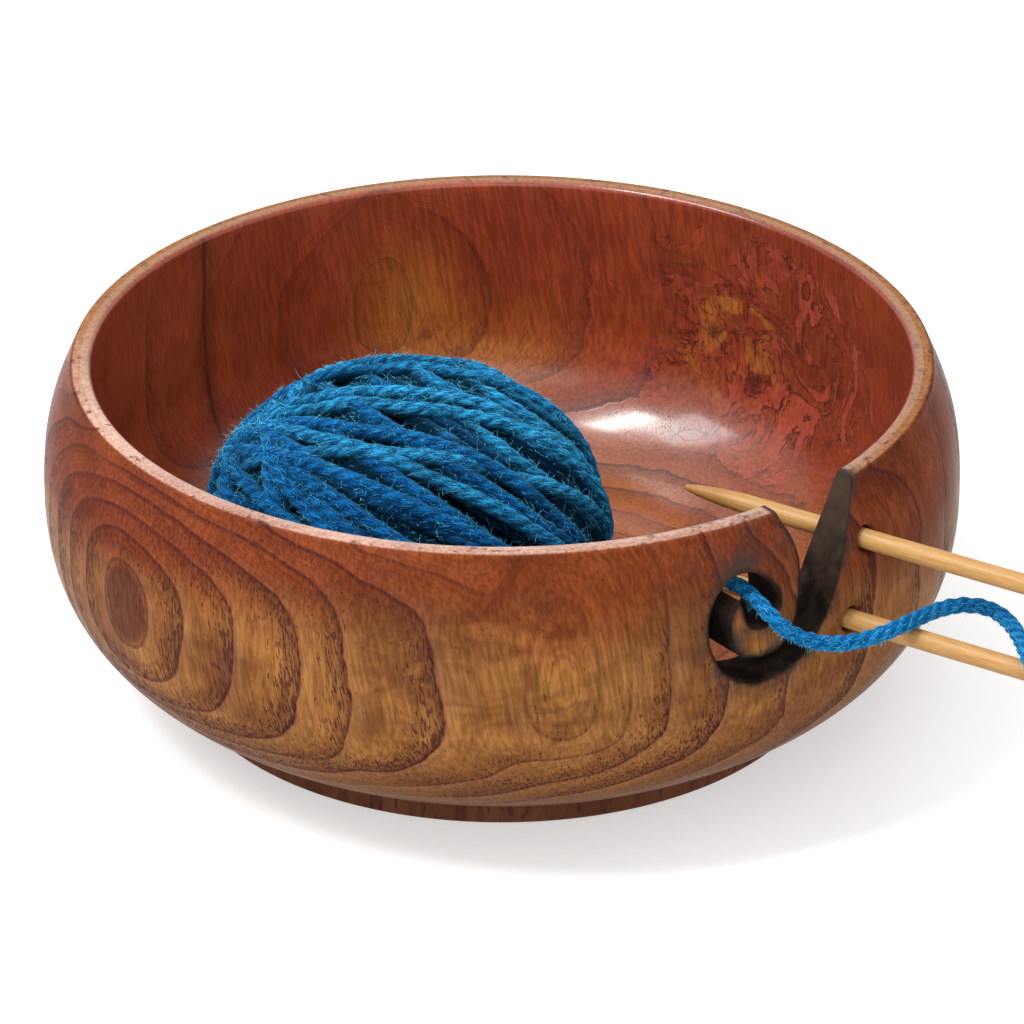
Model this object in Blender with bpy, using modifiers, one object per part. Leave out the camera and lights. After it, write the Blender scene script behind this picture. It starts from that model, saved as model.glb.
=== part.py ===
"""Yarn bowl with its load: a turned wooden bowl with a spiral yarn guide sawn through the wall,
its foot, a ball of yarn, the working yarn that runs out through the guide, and two double-pointed
bamboo knitting needles parked in two holes in the wall.

The bowl's axis is Z, and its foot stands on z = 0. The guide and the needles face -Y and +X.
"""
import math

import bmesh
import bpy
from mathutils import Matrix, Vector

MM = 0.001
GAP = 0.3 * MM              # between pieces that touch

# Turned bowl: radii and heights of its profile.
BOWL_HEIGHT = 68 * MM
RIM_OUTER_R = 83.4 * MM
RIM_INNER_R = 79.0 * MM
RIM_ROUND = 1.2 * MM
BELLY_R = 89.0 * MM
BELLY_Z = 40.5 * MM
FLOOR_Z = 10.0 * MM         # inside floor, at the axis
FLOOR_RISE = 0.4 * MM       # the floor is this much higher where the corner begins
CORNER_R = 32.0 * MM        # inside corner between floor and wall: its width
CORNER_H = 28.0 * MM        # and its height
FOOT_R = 63.6 * MM
FOOT_HEIGHT = 4.5 * MM
LEDGE = 1.3 * MM            # the bowl's underside stands out from the foot by this much
TURN_STEPS = 96

# Spiral guide: its outline in the plane that faces GUIDE_AZIMUTH, as (across, height) in mm.
GUIDE_AZIMUTH = math.radians(-52)
GUIDE_DEPTH = (58 * MM, 100 * MM)   # the cut runs between these distances from the axis
GUIDE_OUTER_EDGE = (
    (20.2, 71.5), (18.2, 67.5), (14.4, 61.3), (11.1, 55.8), (8.3, 50.6), (4.7, 44.8), (0.9, 40.7),
    (-4.2, 38.4), (-9.8, 38.1), (-14.6, 40.0), (-18.0, 44.2), (-19.3, 49.6), (-18.3, 54.6),
    (-15.2, 58.0), (-10.6, 59.3), (-6.7, 57.3), (-4.5, 53.4), (-6.2, 49.8), (-9.6, 49.0),
    (-11.6, 50.9), (-12.0, 53.0))
GUIDE_TONGUE_TIP = (-12.9, 54.9)
GUIDE_INNER_EDGE = (
    (-14.7, 53.2), (-15.6, 50.2), (-15.2, 47.0), (-13.6, 44.2), (-10.6, 42.7), (-7.0, 42.4),
    (-3.8, 43.4), (-1.3, 46.4), (0.1, 50.6), (1.0, 54.8), (1.7, 58.8), (1.2, 62.4), (-0.4, 66.0),
    (-3.4, 71.5))

# Needles: both run level and parallel, and each has a point at both ends.
NEEDLE_AZIMUTH = math.radians(-32.4)
NEEDLE_D = 3.75 * MM
NEEDLE_LENGTH = 150 * MM
NEEDLE_POINT = 13 * MM      # length of each tapered point
NEEDLE_TIP_D = 1.2 * MM
NEEDLE_HOLE_D = 5.0 * MM
NEEDLE_SIDES = 16
# Where each needle's axis crosses the outside of the wall, and how much of it is inside that.
NEEDLES = {
    "upper": {"entry": (67.4 * MM, -55.2 * MM, 56.5 * MM), "inside": 39 * MM},
    "lower": {"entry": (64.6 * MM, -60.9 * MM, 42.7 * MM), "inside": 38 * MM},
}

# Ball of yarn, a little flattened, resting on the floor.
BALL_CENTRE_XY = (-17.5 * MM, -17.8 * MM)
BALL_R = 39.3 * MM
BALL_HALF_HEIGHT = 30.4 * MM
BALL_CENTRE_Z = FLOOR_Z + FLOOR_RISE + GAP + BALL_HALF_HEIGHT

# Working yarn: off the ball, through the guide, over the lower needle, and down to the table.
YARN_D = 3.0 * MM
YARN_ROUTE = (
    (-33.1, -56.0, 40.6), (-23.5, -59.0, 41.0), (-12.0, -61.4, 41.9), (2.0, -62.6, 43.8),
    (16.0, -63.5, 47.2), (28.0, -64.3, 51.4), (36.5, -65.8, 54.4), (42.4, -69.6, 55.2),
    (46.9, -74.4, 53.6), (50.8, -77.4, 50.2), (56.2, -77.0, 46.9), (62.4, -75.6, 45.6),
    (69.0, -73.0, 45.9), (75.0, -68.9, 46.5), (80.7, -63.8, 46.3), (85.6, -61.2, 46.0),
    (90.2, -62.9, 46.0), (93.0, -68.0, 46.3), (94.6, -74.2, 46.5), (95.4, -80.4, 46.5),
    (96.6, -86.2, 45.0), (98.0, -90.6, 40.0), (99.2, -93.6, 31.0), (100.0, -95.8, 20.0),
    (100.8, -98.6, 9.6), (102.8, -103.6, 3.2), (106.8, -110.0, 1.9), (112.6, -116.0, 1.6),
    (120.0, -119.6, 1.6))
YARN_STEP = 2.6 * YARN_D    # distance between the tube's points
COIL_CENTRE_XY = (126.0 * MM, -98.0 * MM)
COIL_MEAN_R = 16.5 * MM
COIL_HALF_WIDTH = 3.1 * MM
COIL_HEIGHT = 6.2 * MM


def clear_scene():
    for obj in list(bpy.data.objects):
        bpy.data.objects.remove(obj, do_unlink=True)


def new_collection(name):
    collection = bpy.data.collections.new(name)
    bpy.context.scene.collection.children.link(collection)
    return collection


def new_material(name, colour, roughness, metallic=0.0):
    material = bpy.data.materials.new(name)
    material.use_nodes = True
    shader = material.node_tree.nodes["Principled BSDF"]
    shader.inputs["Base Color"].default_value = (*colour, 1.0)
    shader.inputs["Roughness"].default_value = roughness
    shader.inputs["Metallic"].default_value = metallic
    material.diffuse_color = (*colour, 1.0)
    return material


def add_object(name, data, collection, material=None):
    obj = bpy.data.objects.new(name, data)
    collection.objects.link(obj)
    if material is not None:
        data.materials.append(material)
    return obj


def add_bmesh_object(name, bm, collection, material=None):
    mesh = bpy.data.meshes.new(name)
    bm.to_mesh(mesh)
    bm.free()
    return add_object(name, mesh, collection, material)


def shade_smooth(obj, sharp_angle=math.radians(40)):
    obj.data.shade_smooth()
    obj.data.set_sharp_from_angle(angle=sharp_angle)


def turned(name, profile, steps, collection, material=None):
    """A solid of revolution about Z, from (radius, height) points that run down its outer side."""
    bm = bmesh.new()
    verts = [bm.verts.new((radius, 0.0, height)) for radius, height in profile]
    for first, second in zip(verts, verts[1:]):
        bm.edges.new((first, second))
    obj = add_bmesh_object(name, bm, collection, material)
    screw = obj.modifiers.new("turn", 'SCREW')
    screw.axis = 'Z'
    screw.steps = steps
    screw.render_steps = steps
    screw.use_merge_vertices = True
    screw.merge_threshold = 0.00001
    return obj


def as_mesh(obj, weld=0.00001):
    """Replaces an object that has modifiers, or a curve, by the plain mesh it makes."""
    depsgraph = bpy.context.evaluated_depsgraph_get()
    mesh = bpy.data.meshes.new_from_object(obj.evaluated_get(depsgraph))
    bm = bmesh.new()
    bm.from_mesh(mesh)
    bmesh.ops.remove_doubles(bm, verts=bm.verts, dist=weld)
    bm.to_mesh(mesh)
    bm.free()
    name = obj.name
    collection = obj.users_collection[0]
    matrix = obj.matrix_world.copy()
    bpy.data.objects.remove(obj, do_unlink=True)
    solid = bpy.data.objects.new(name, mesh)
    collection.objects.link(solid)
    solid.matrix_world = matrix
    return solid


def bezier(start, handle_1, handle_2, end, count):
    """Points along a cubic Bezier, without its first point."""
    points = []
    for i in range(1, count + 1):
        t = i / count
        s = 1 - t
        weights = (s ** 3, 3 * s * s * t, 3 * s * t * t, t ** 3)
        corners = (start, handle_1, handle_2, end)
        points.append(tuple(sum(w * c[k] for w, c in zip(weights, corners)) for k in range(2)))
    return points


def arc(centre, radius_r, radius_z, start, end, count):
    """Points along an elliptical arc in the profile's plane, angles in degrees."""
    points = []
    for i in range(count + 1):
        angle = math.radians(start + (end - start) * i / count)
        points.append((centre[0] + radius_r * math.cos(angle), centre[1] + radius_z * math.sin(angle)))
    return points


def bowl_profile():
    """Floor, inside wall, rim, outside wall and underside, from the axis round to the axis."""
    underside = FOOT_HEIGHT + GAP
    corner = (RIM_INNER_R - CORNER_R, FLOOR_Z + FLOOR_RISE + CORNER_H)
    belly = (BELLY_R, BELLY_Z)
    profile = [(0.0, FLOOR_Z), (24 * MM, FLOOR_Z + 0.1 * MM)]
    profile += arc(corner, CORNER_R, CORNER_H, -90, 0, 9)
    profile.append((RIM_INNER_R, BOWL_HEIGHT - 14 * MM))
    profile += arc((RIM_INNER_R + RIM_ROUND, BOWL_HEIGHT - RIM_ROUND), RIM_ROUND, RIM_ROUND, 180, 90, 3)
    profile += arc((RIM_OUTER_R - RIM_ROUND, BOWL_HEIGHT - RIM_ROUND), RIM_ROUND, RIM_ROUND, 90, 0, 3)
    profile += bezier(profile[-1], (RIM_OUTER_R + 5.0 * MM, 56.8 * MM), (BELLY_R, 50.6 * MM), belly, 7)
    foot_joint = (FOOT_R + LEDGE, underside)
    profile += bezier(belly, (BELLY_R, 24 * MM), (81.9 * MM, 13.6 * MM), foot_joint, 9)
    profile.append((0.0, underside))
    return profile


def guide_cutter(collection):
    """The spiral guide's outline, extruded through the wall."""
    curve = bpy.data.curves.new("guide_cutter", 'CURVE')
    curve.dimensions = '2D'
    curve.fill_mode = 'BOTH'
    curve.extrude = (GUIDE_DEPTH[1] - GUIDE_DEPTH[0]) / 2
    outline = list(GUIDE_OUTER_EDGE) + [GUIDE_TONGUE_TIP] + list(GUIDE_INNER_EDGE)
    corners = (0, len(GUIDE_OUTER_EDGE), len(outline) - 1)
    spline = curve.splines.new('BEZIER')
    spline.bezier_points.add(len(outline) - 1)
    spline.use_cyclic_u = True
    spline.resolution_u = 3
    for index, (point, place) in enumerate(zip(spline.bezier_points, outline)):
        handle = 'VECTOR' if index in corners else 'AUTO'
        point.co = (place[0] * MM, place[1] * MM, 0.0)
        point.handle_left_type = handle
        point.handle_right_type = handle
    cutter = add_object("guide_cutter", curve, collection)
    outwards = Vector((math.cos(GUIDE_AZIMUTH), math.sin(GUIDE_AZIMUTH), 0.0))
    across = Vector((-outwards.y, outwards.x, 0.0))
    matrix = Matrix((across, Vector((0.0, 0.0, 1.0)), outwards)).transposed().to_4x4()
    matrix.translation = outwards * (GUIDE_DEPTH[0] + GUIDE_DEPTH[1]) / 2
    cutter.matrix_world = matrix
    bpy.context.view_layer.update()
    return as_mesh(cutter)


def needle_direction():
    return Vector((math.cos(NEEDLE_AZIMUTH), math.sin(NEEDLE_AZIMUTH), 0.0))


def along_needle(distance, place):
    """Matrix that stands a Z-axis solid along the needles' direction, at a place on its axis."""
    turn = Vector((0.0, 0.0, 1.0)).rotation_difference(needle_direction()).to_matrix().to_4x4()
    return Matrix.Translation(Vector(place) + needle_direction() * distance) @ turn


def needle_hole_cutter(which, collection):
    bm = bmesh.new()
    radius = NEEDLE_HOLE_D / 2
    bmesh.ops.create_cone(bm, cap_ends=True, segments=24, radius1=radius, radius2=radius,
                          depth=44 * MM)
    cutter = add_bmesh_object("needle_hole_cutter_" + which, bm, collection)
    cutter.matrix_world = along_needle(-6 * MM, NEEDLES[which]["entry"])
    return cutter


def cut(obj, cutter):
    boolean = obj.modifiers.new(cutter.name, 'BOOLEAN')
    boolean.operation = 'DIFFERENCE'
    boolean.solver = 'EXACT'
    boolean.object = cutter


def build_bowl_body(parts, cutters):
    walnut = new_material("bowl_wood", (0.36, 0.15, 0.055), 0.38)
    shell = turned("bowl_body", bowl_profile(), TURN_STEPS, cutters)
    body = as_mesh(shell)
    cutters.objects.unlink(body)
    parts.objects.link(body)
    body.name = "bowl_body"
    body.data.materials.append(walnut)
    cut(body, guide_cutter(cutters))
    for which in NEEDLES:
        cut(body, needle_hole_cutter(which, cutters))
    shade_smooth(body, math.radians(35))


def build_foot(parts):
    wood = new_material("foot_wood", (0.30, 0.14, 0.085), 0.5)
    ease = 0.5 * MM
    profile = [(0.0, FOOT_HEIGHT), (FOOT_R - ease, FOOT_HEIGHT), (FOOT_R, FOOT_HEIGHT - ease),
               (FOOT_R, ease), (FOOT_R - ease, 0.0), (0.0, 0.0)]
    shade_smooth(as_mesh(turned("foot", profile, TURN_STEPS, parts, wood)))


def build_yarn_ball(parts):
    yarn = new_material("ball_yarn", (0.01, 0.16, 0.48), 0.9)
    bm = bmesh.new()
    bmesh.ops.create_uvsphere(bm, u_segments=32, v_segments=18, radius=1.0)
    bmesh.ops.scale(bm, vec=(BALL_R, BALL_R, BALL_HALF_HEIGHT), verts=bm.verts)
    ball = add_bmesh_object("yarn_ball", bm, parts, yarn)
    ball.location = (*BALL_CENTRE_XY, BALL_CENTRE_Z)
    shade_smooth(ball)


def smooth_route(points, step):
    """Evenly spaced points on a centripetal Catmull-Rom curve through the given points."""
    places = [Vector(point) * MM for point in points]
    ends = [places[0] * 2 - places[1]], [places[-1] * 2 - places[-2]]
    padded = ends[0] + places + ends[1]
    dense = []
    for p0, p1, p2, p3 in zip(padded, padded[1:], padded[2:], padded[3:]):
        t0 = 0.0
        t1 = t0 + math.sqrt((p1 - p0).length)
        t2 = t1 + math.sqrt((p2 - p1).length)
        t3 = t2 + math.sqrt((p3 - p2).length)
        for i in range(16):
            t = t1 + (t2 - t1) * i / 16
            a1 = p0.lerp(p1, (t - t0) / (t1 - t0))
            a2 = p1.lerp(p2, (t - t1) / (t2 - t1))
            a3 = p2.lerp(p3, (t - t2) / (t3 - t2))
            b1 = a1.lerp(a2, (t - t0) / (t2 - t0))
            b2 = a2.lerp(a3, (t - t1) / (t3 - t1))
            dense.append(b1.lerp(b2, (t - t1) / (t2 - t1)))
    dense.append(places[-1])
    lengths = [0.0]
    for first, second in zip(dense, dense[1:]):
        lengths.append(lengths[-1] + (second - first).length)
    count = round(lengths[-1] / step)
    route = []
    index = 0
    for i in range(count + 1):
        target = lengths[-1] * i / count
        while index < len(dense) - 2 and lengths[index + 1] < target:
            index += 1
        share = (target - lengths[index]) / (lengths[index + 1] - lengths[index])
        route.append(dense[index].lerp(dense[index + 1], share))
    return route


def build_working_yarn(parts):
    yarn = new_material("working_yarn", (0.01, 0.16, 0.48), 0.9)
    curve = bpy.data.curves.new("working_yarn", 'CURVE')
    curve.dimensions = '3D'
    curve.bevel_depth = YARN_D / 2
    curve.bevel_resolution = 2
    curve.use_fill_caps = True
    route = smooth_route(YARN_ROUTE, YARN_STEP)
    spline = curve.splines.new('POLY')
    spline.points.add(len(route) - 1)
    for point, place in zip(spline.points, route):
        point.co = (*place, 1.0)
    tube = as_mesh(add_object("working_yarn", curve, parts))
    tube.data.materials.append(yarn)
    shade_smooth(tube)


def build_yarn_coil(parts):
    """The outer shape of the neat coil in which the rest of the working yarn lies."""
    yarn = new_material("coil_yarn", (0.01, 0.16, 0.48), 0.9)
    bm = bmesh.new()
    section = arc((COIL_MEAN_R, COIL_HEIGHT / 2), COIL_HALF_WIDTH, COIL_HEIGHT / 2, 180, -180, 12)
    verts = [bm.verts.new((radius, 0.0, height)) for radius, height in section[:-1]]
    for first, second in zip(verts, verts[1:] + verts[:1]):
        bm.edges.new((first, second))
    coil = add_bmesh_object("yarn_coil", bm, parts, yarn)
    screw = coil.modifiers.new("turn", 'SCREW')
    screw.axis = 'Z'
    screw.steps = 40
    screw.render_steps = 40
    screw.use_merge_vertices = True
    screw.merge_threshold = 0.00001
    coil = as_mesh(coil)
    coil.location = (*COIL_CENTRE_XY, 0.0)
    shade_smooth(coil)


def build_needle(which, parts, bamboo):
    """A bamboo needle, turned about its own axis from its outer point to its inner one."""
    radius = NEEDLE_D / 2
    tip_radius = NEEDLE_TIP_D / 2
    taper = ((0.0, 0.0), (tip_radius * 0.8, tip_radius * 0.25), (tip_radius, tip_radius),
             (radius * 0.60, NEEDLE_POINT * 0.25), (radius * 0.86, NEEDLE_POINT * 0.6),
             (radius, NEEDLE_POINT))
    profile = [(across, NEEDLE_LENGTH - along) for across, along in taper]
    profile += list(reversed(taper))
    needle = as_mesh(turned("needle_" + which, profile, NEEDLE_SIDES, parts, bamboo))
    needle.matrix_world = along_needle(-NEEDLES[which]["inside"], NEEDLES[which]["entry"])
    shade_smooth(needle, math.radians(30))


def main():
    clear_scene()
    parts = new_collection("yarn_bowl")
    cutters = new_collection("cutters")
    build_bowl_body(parts, cutters)
    build_foot(parts)
    build_yarn_ball(parts)
    build_working_yarn(parts)
    build_yarn_coil(parts)
    bamboo = new_material("bamboo", (0.66, 0.43, 0.19), 0.45)
    for which in NEEDLES:
        build_needle(which, parts, bamboo)
    for cutter in cutters.objects:
        cutter.hide_render = True
        cutter.display_type = 'WIRE'


main()
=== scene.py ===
import math
from types import SimpleNamespace

import bmesh
import bpy
import numpy as np
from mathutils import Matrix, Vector


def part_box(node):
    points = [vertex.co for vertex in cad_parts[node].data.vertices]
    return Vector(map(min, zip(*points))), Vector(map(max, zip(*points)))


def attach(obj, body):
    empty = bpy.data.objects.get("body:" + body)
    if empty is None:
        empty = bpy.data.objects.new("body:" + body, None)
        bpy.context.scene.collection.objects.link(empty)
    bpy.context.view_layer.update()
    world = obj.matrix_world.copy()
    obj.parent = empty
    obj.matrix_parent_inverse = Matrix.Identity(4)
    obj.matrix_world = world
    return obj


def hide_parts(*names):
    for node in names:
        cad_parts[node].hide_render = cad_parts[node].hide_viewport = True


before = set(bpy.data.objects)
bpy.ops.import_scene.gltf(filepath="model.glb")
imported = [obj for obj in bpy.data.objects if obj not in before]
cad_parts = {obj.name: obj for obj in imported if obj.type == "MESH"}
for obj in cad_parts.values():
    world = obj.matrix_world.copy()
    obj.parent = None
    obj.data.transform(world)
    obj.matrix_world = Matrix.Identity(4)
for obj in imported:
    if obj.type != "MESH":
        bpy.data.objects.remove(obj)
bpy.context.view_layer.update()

MM = 0.001

# ---------------------------------------------------------------- sizes taken from the frame
BOWL_LOW, BOWL_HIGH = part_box("bowl_body")
FOOT_LOW, FOOT_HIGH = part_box("foot")
BALL_LOW, BALL_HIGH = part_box("yarn_ball")
COIL_LOW, COIL_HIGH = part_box("yarn_coil")

# ---------------------------------------------------------------- turned bowl, as in the frame
BOWL_HEIGHT = BOWL_HIGH.z
UNDERSIDE = BOWL_LOW.z
BELLY_R = (BOWL_HIGH.x - BOWL_LOW.x) / 2
BELLY_Z = 40.5 * MM
RIM_OUTER_R = 83.4 * MM
RIM_INNER_R = 79.0 * MM
RIM_ROUND = 1.2 * MM
FLOOR_Z = 10.0 * MM
FLOOR_RISE = 0.4 * MM
CORNER_R = 32.0 * MM
CORNER_H = 28.0 * MM
FOOT_R = (FOOT_HIGH.x - FOOT_LOW.x) / 2
LEDGE = 1.3 * MM

# Spiral guide: its outline in the plane that faces GUIDE_AZIMUTH, as (across, height) in mm.
GUIDE_AZIMUTH = math.radians(-52)
GUIDE_DEPTH = (58 * MM, 100 * MM)       # where its cutter begins and ends, from the axis
GUIDE_OUTER_EDGE = (
    (20.2, 71.5), (18.2, 67.5), (14.4, 61.3), (11.1, 55.8), (8.3, 50.6), (4.7, 44.8), (0.9, 40.7),
    (-4.2, 38.4), (-9.8, 38.1), (-14.6, 40.0), (-18.0, 44.2), (-19.3, 49.6), (-18.3, 54.6),
    (-15.2, 58.0), (-10.6, 59.3), (-6.7, 57.3), (-4.5, 53.4), (-6.2, 49.8), (-9.6, 49.0),
    (-11.6, 50.9), (-12.0, 53.0))
GUIDE_TONGUE_TIP = (-12.9, 54.9)
GUIDE_INNER_EDGE = (
    (-14.7, 53.2), (-15.6, 50.2), (-15.2, 47.0), (-13.6, 44.2), (-10.6, 42.7), (-7.0, 42.4),
    (-3.8, 43.4), (-1.3, 46.4), (0.1, 50.6), (1.0, 54.8), (1.7, 58.8), (1.2, 62.4), (-0.4, 66.0),
    (-3.4, 71.5))
EDGE_ROUND = 0.8 * MM       # how far the sanded edges of the cut are rounded
CUT_CLEAR = 0.35 * MM       # this far off the wall the cutter has flared out by CUT_FLARE
CUT_FLARE = 1.15 * MM

# Needles
NEEDLE_AZIMUTH = math.radians(-32.4)
NEEDLE_D = 3.75 * MM
NEEDLE_LENGTH = 150 * MM
NEEDLE_POINT = 13 * MM
NEEDLE_TIP_D = 1.2 * MM
NEEDLE_HOLE_D = 5.0 * MM
NEEDLE_HOLE_REACH = 26 * MM     # how far the hole's cutter reaches into the bowl
NEEDLE_SIDES, NEEDLE_HOLE_SIDES = 40, 48
BAMBOO_ROUND, BAMBOO_ALONG = 1.9, 0.035     # the fibre texture's scale round and along it
# The hole's edge, as (how far out from the wall, how much wider) in mm.
HOLE_EDGE = ((-0.7, 0.0), (-0.4, 0.05), (-0.15, 0.18), (0.0, 0.36), (0.4, 0.8), (9, 0.8))
NEEDLES = {
    "upper": {"entry": (67.4 * MM, -55.2 * MM, 56.5 * MM), "inside": 39 * MM},
    "lower": {"entry": (64.6 * MM, -60.9 * MM, 42.7 * MM), "inside": 38 * MM},
}

# Working yarn: the route of the frame's tube, in mm, and the coil that it ends in.
YARN_D = 3.0 * MM
YARN_LOFT = 1.06            # the plies stand out a little beyond the yarn's measured thickness
YARN_TURN = -8.4 * MM       # one whole turn of the three plies; negative is to the left
YARN_TONE, YARN_SWELL = 0.6, 0.05       # how light it is, and how much its thickness varies
YARN_OFF_BALL = ((-52.4, -33.4, 39.8), (-49.2, -40.4, 40.0), (-44.0, -47.8, 40.2))
YARN_ROUTE = (
    (-33.1, -56.0, 40.6), (-23.5, -59.0, 41.0), (-12.0, -61.4, 41.9), (2.0, -62.6, 43.8),
    (16.0, -63.5, 47.2), (28.0, -64.3, 51.4), (36.5, -65.8, 54.4), (42.4, -69.6, 55.2),
    (46.9, -74.4, 53.6), (50.8, -77.4, 50.2), (56.2, -77.0, 46.9), (62.4, -75.6, 45.6),
    (69.0, -73.0, 45.9), (75.0, -68.9, 46.5), (80.7, -63.8, 46.3), (85.6, -61.2, 46.0),
    (90.2, -62.9, 46.0), (93.0, -68.0, 46.3), (94.6, -74.2, 46.5), (95.4, -80.4, 46.5),
    (96.6, -86.2, 45.0), (98.0, -90.6, 40.0), (99.2, -93.6, 31.0), (100.0, -95.8, 20.0),
    (100.8, -98.6, 9.6), (102.8, -103.6, 3.2), (106.8, -110.0, 1.9), (112.6, -116.0, 1.6),
    (120.0, -119.6, 1.6))
COIL_CENTRE = ((COIL_LOW.x + COIL_HIGH.x) / 2, (COIL_LOW.y + COIL_HIGH.y) / 2)
COIL_TURNS = 3.56

# Ball of yarn
BALL_CENTRE = np.array((BALL_LOW + BALL_HIGH) / 2)
BALL_RADII = np.array((BALL_HIGH - BALL_LOW) / 2)
HOLLOW_DEPTH = 3.8 * MM     # a strand that lies this deep between others is painted quite dark, as painted shade
WINDING_DEPTH = 5.3 * MM    # from the ball's outside to the core that the seen strands lie on

# Camera: the photograph's angle
CAMERA_AIM = Vector((1.94 * MM, 0.0, 33.0 * MM))
CAMERA_DISTANCE = 1.0922
CAMERA_ELEVATION = math.radians(27.76)
CAMERA_LENS = 196.2

# Studio: soft lights, as (name, place, what it faces, size, power in W), over a pale floor.
MIDDLE = (0.0, 0.0, 0.04)
LIGHTS = (
    ("overhead", (0.0, 0.10, 1.3), MIDDLE, (1.5, 1.2), 4.5),
    ("window", (-0.46, -0.25, 1.0), (0.025, 0.064, 0.018), (0.13, 0.38), 7.5),
    ("window_low", (-0.68, -0.12, 0.86), (0.045, 0.058, 0.021), (0.28, 0.45), 5.4),
    ("front_fill", (0.1, -1.5, 0.9), MIDDLE, (1.5, 1.0), 6.5),
)
WORLD_STRENGTH = 0.90
FLOOR_REACH = 12.0
FLOOR_GREY, FLOOR_ROUGHNESS, FLOOR_GLOW = 0.55, 0.9, 0.48
WHITE = (1.0, 1.0, 1.0, 1.0)

UP = np.array((0.0, 0.0, 1.0))
random = np.random.default_rng(7)


# ================================================================ camera, floor and lights
def make_camera():
    data = bpy.data.cameras.new("camera")
    data.lens = CAMERA_LENS
    data.sensor_width = 36.0
    data.clip_start = 0.01
    camera = add_object("camera", data)
    back = Vector((0.0, -math.cos(CAMERA_ELEVATION), math.sin(CAMERA_ELEVATION)))
    camera.location = CAMERA_AIM + back * CAMERA_DISTANCE
    camera.rotation_euler = (math.pi / 2 - CAMERA_ELEVATION, 0.0, 0.0)
    bpy.context.scene.camera = camera


def make_floor():
    bm = bmesh.new()
    bmesh.ops.create_grid(bm, x_segments=1, y_segments=1, size=FLOOR_REACH)
    mesh = bpy.data.meshes.new("studio_floor")
    bm.to_mesh(mesh)
    bm.free()
    floor = add_object("studio_floor", mesh)
    material = bpy.data.materials.new("floor_white")
    material.use_nodes = True
    shader = material.node_tree.nodes["Principled BSDF"]
    shader.inputs["Base Color"].default_value = (FLOOR_GREY, FLOOR_GREY, FLOOR_GREY, 1.0)
    shader.inputs["Roughness"].default_value = FLOOR_ROUGHNESS
    shader.inputs["Emission Color"].default_value = WHITE
    shader.inputs["Emission Strength"].default_value = FLOOR_GLOW
    mesh.materials.append(material)


def area_light(name, place, faced, size, power):
    data = bpy.data.lights.new(name, 'AREA')
    data.shape = 'RECTANGLE'
    data.size, data.size_y = size
    data.energy = power
    light = add_object(name, data)
    light.location = place
    direction = Vector(faced) - Vector(place)
    light.rotation_euler = direction.to_track_quat('-Z', 'Y').to_euler()


def make_lights():
    for light in LIGHTS:
        area_light(*light)
    world = bpy.data.worlds.new("studio")
    world.use_nodes = True
    background = world.node_tree.nodes["Background"]
    background.inputs["Color"].default_value = WHITE
    background.inputs["Strength"].default_value = WORLD_STRENGTH
    bpy.context.scene.world = world
    bpy.context.scene.view_settings.view_transform = 'Standard'


# ================================================================ shader graphs
class Field:
    """A value in a material's node tree. Formulas join fields and numbers by +, - and *."""

    def __init__(self, graph, socket):
        self.graph = graph
        self.socket = socket

    def __add__(self, other):
        return self.graph.math('ADD', self, other)

    def __sub__(self, other):
        return self.graph.math('SUBTRACT', self, other)

    def __rsub__(self, other):
        return self.graph.math('SUBTRACT', other, self)

    def __mul__(self, other):
        return self.graph.math('MULTIPLY', self, other)


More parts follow.
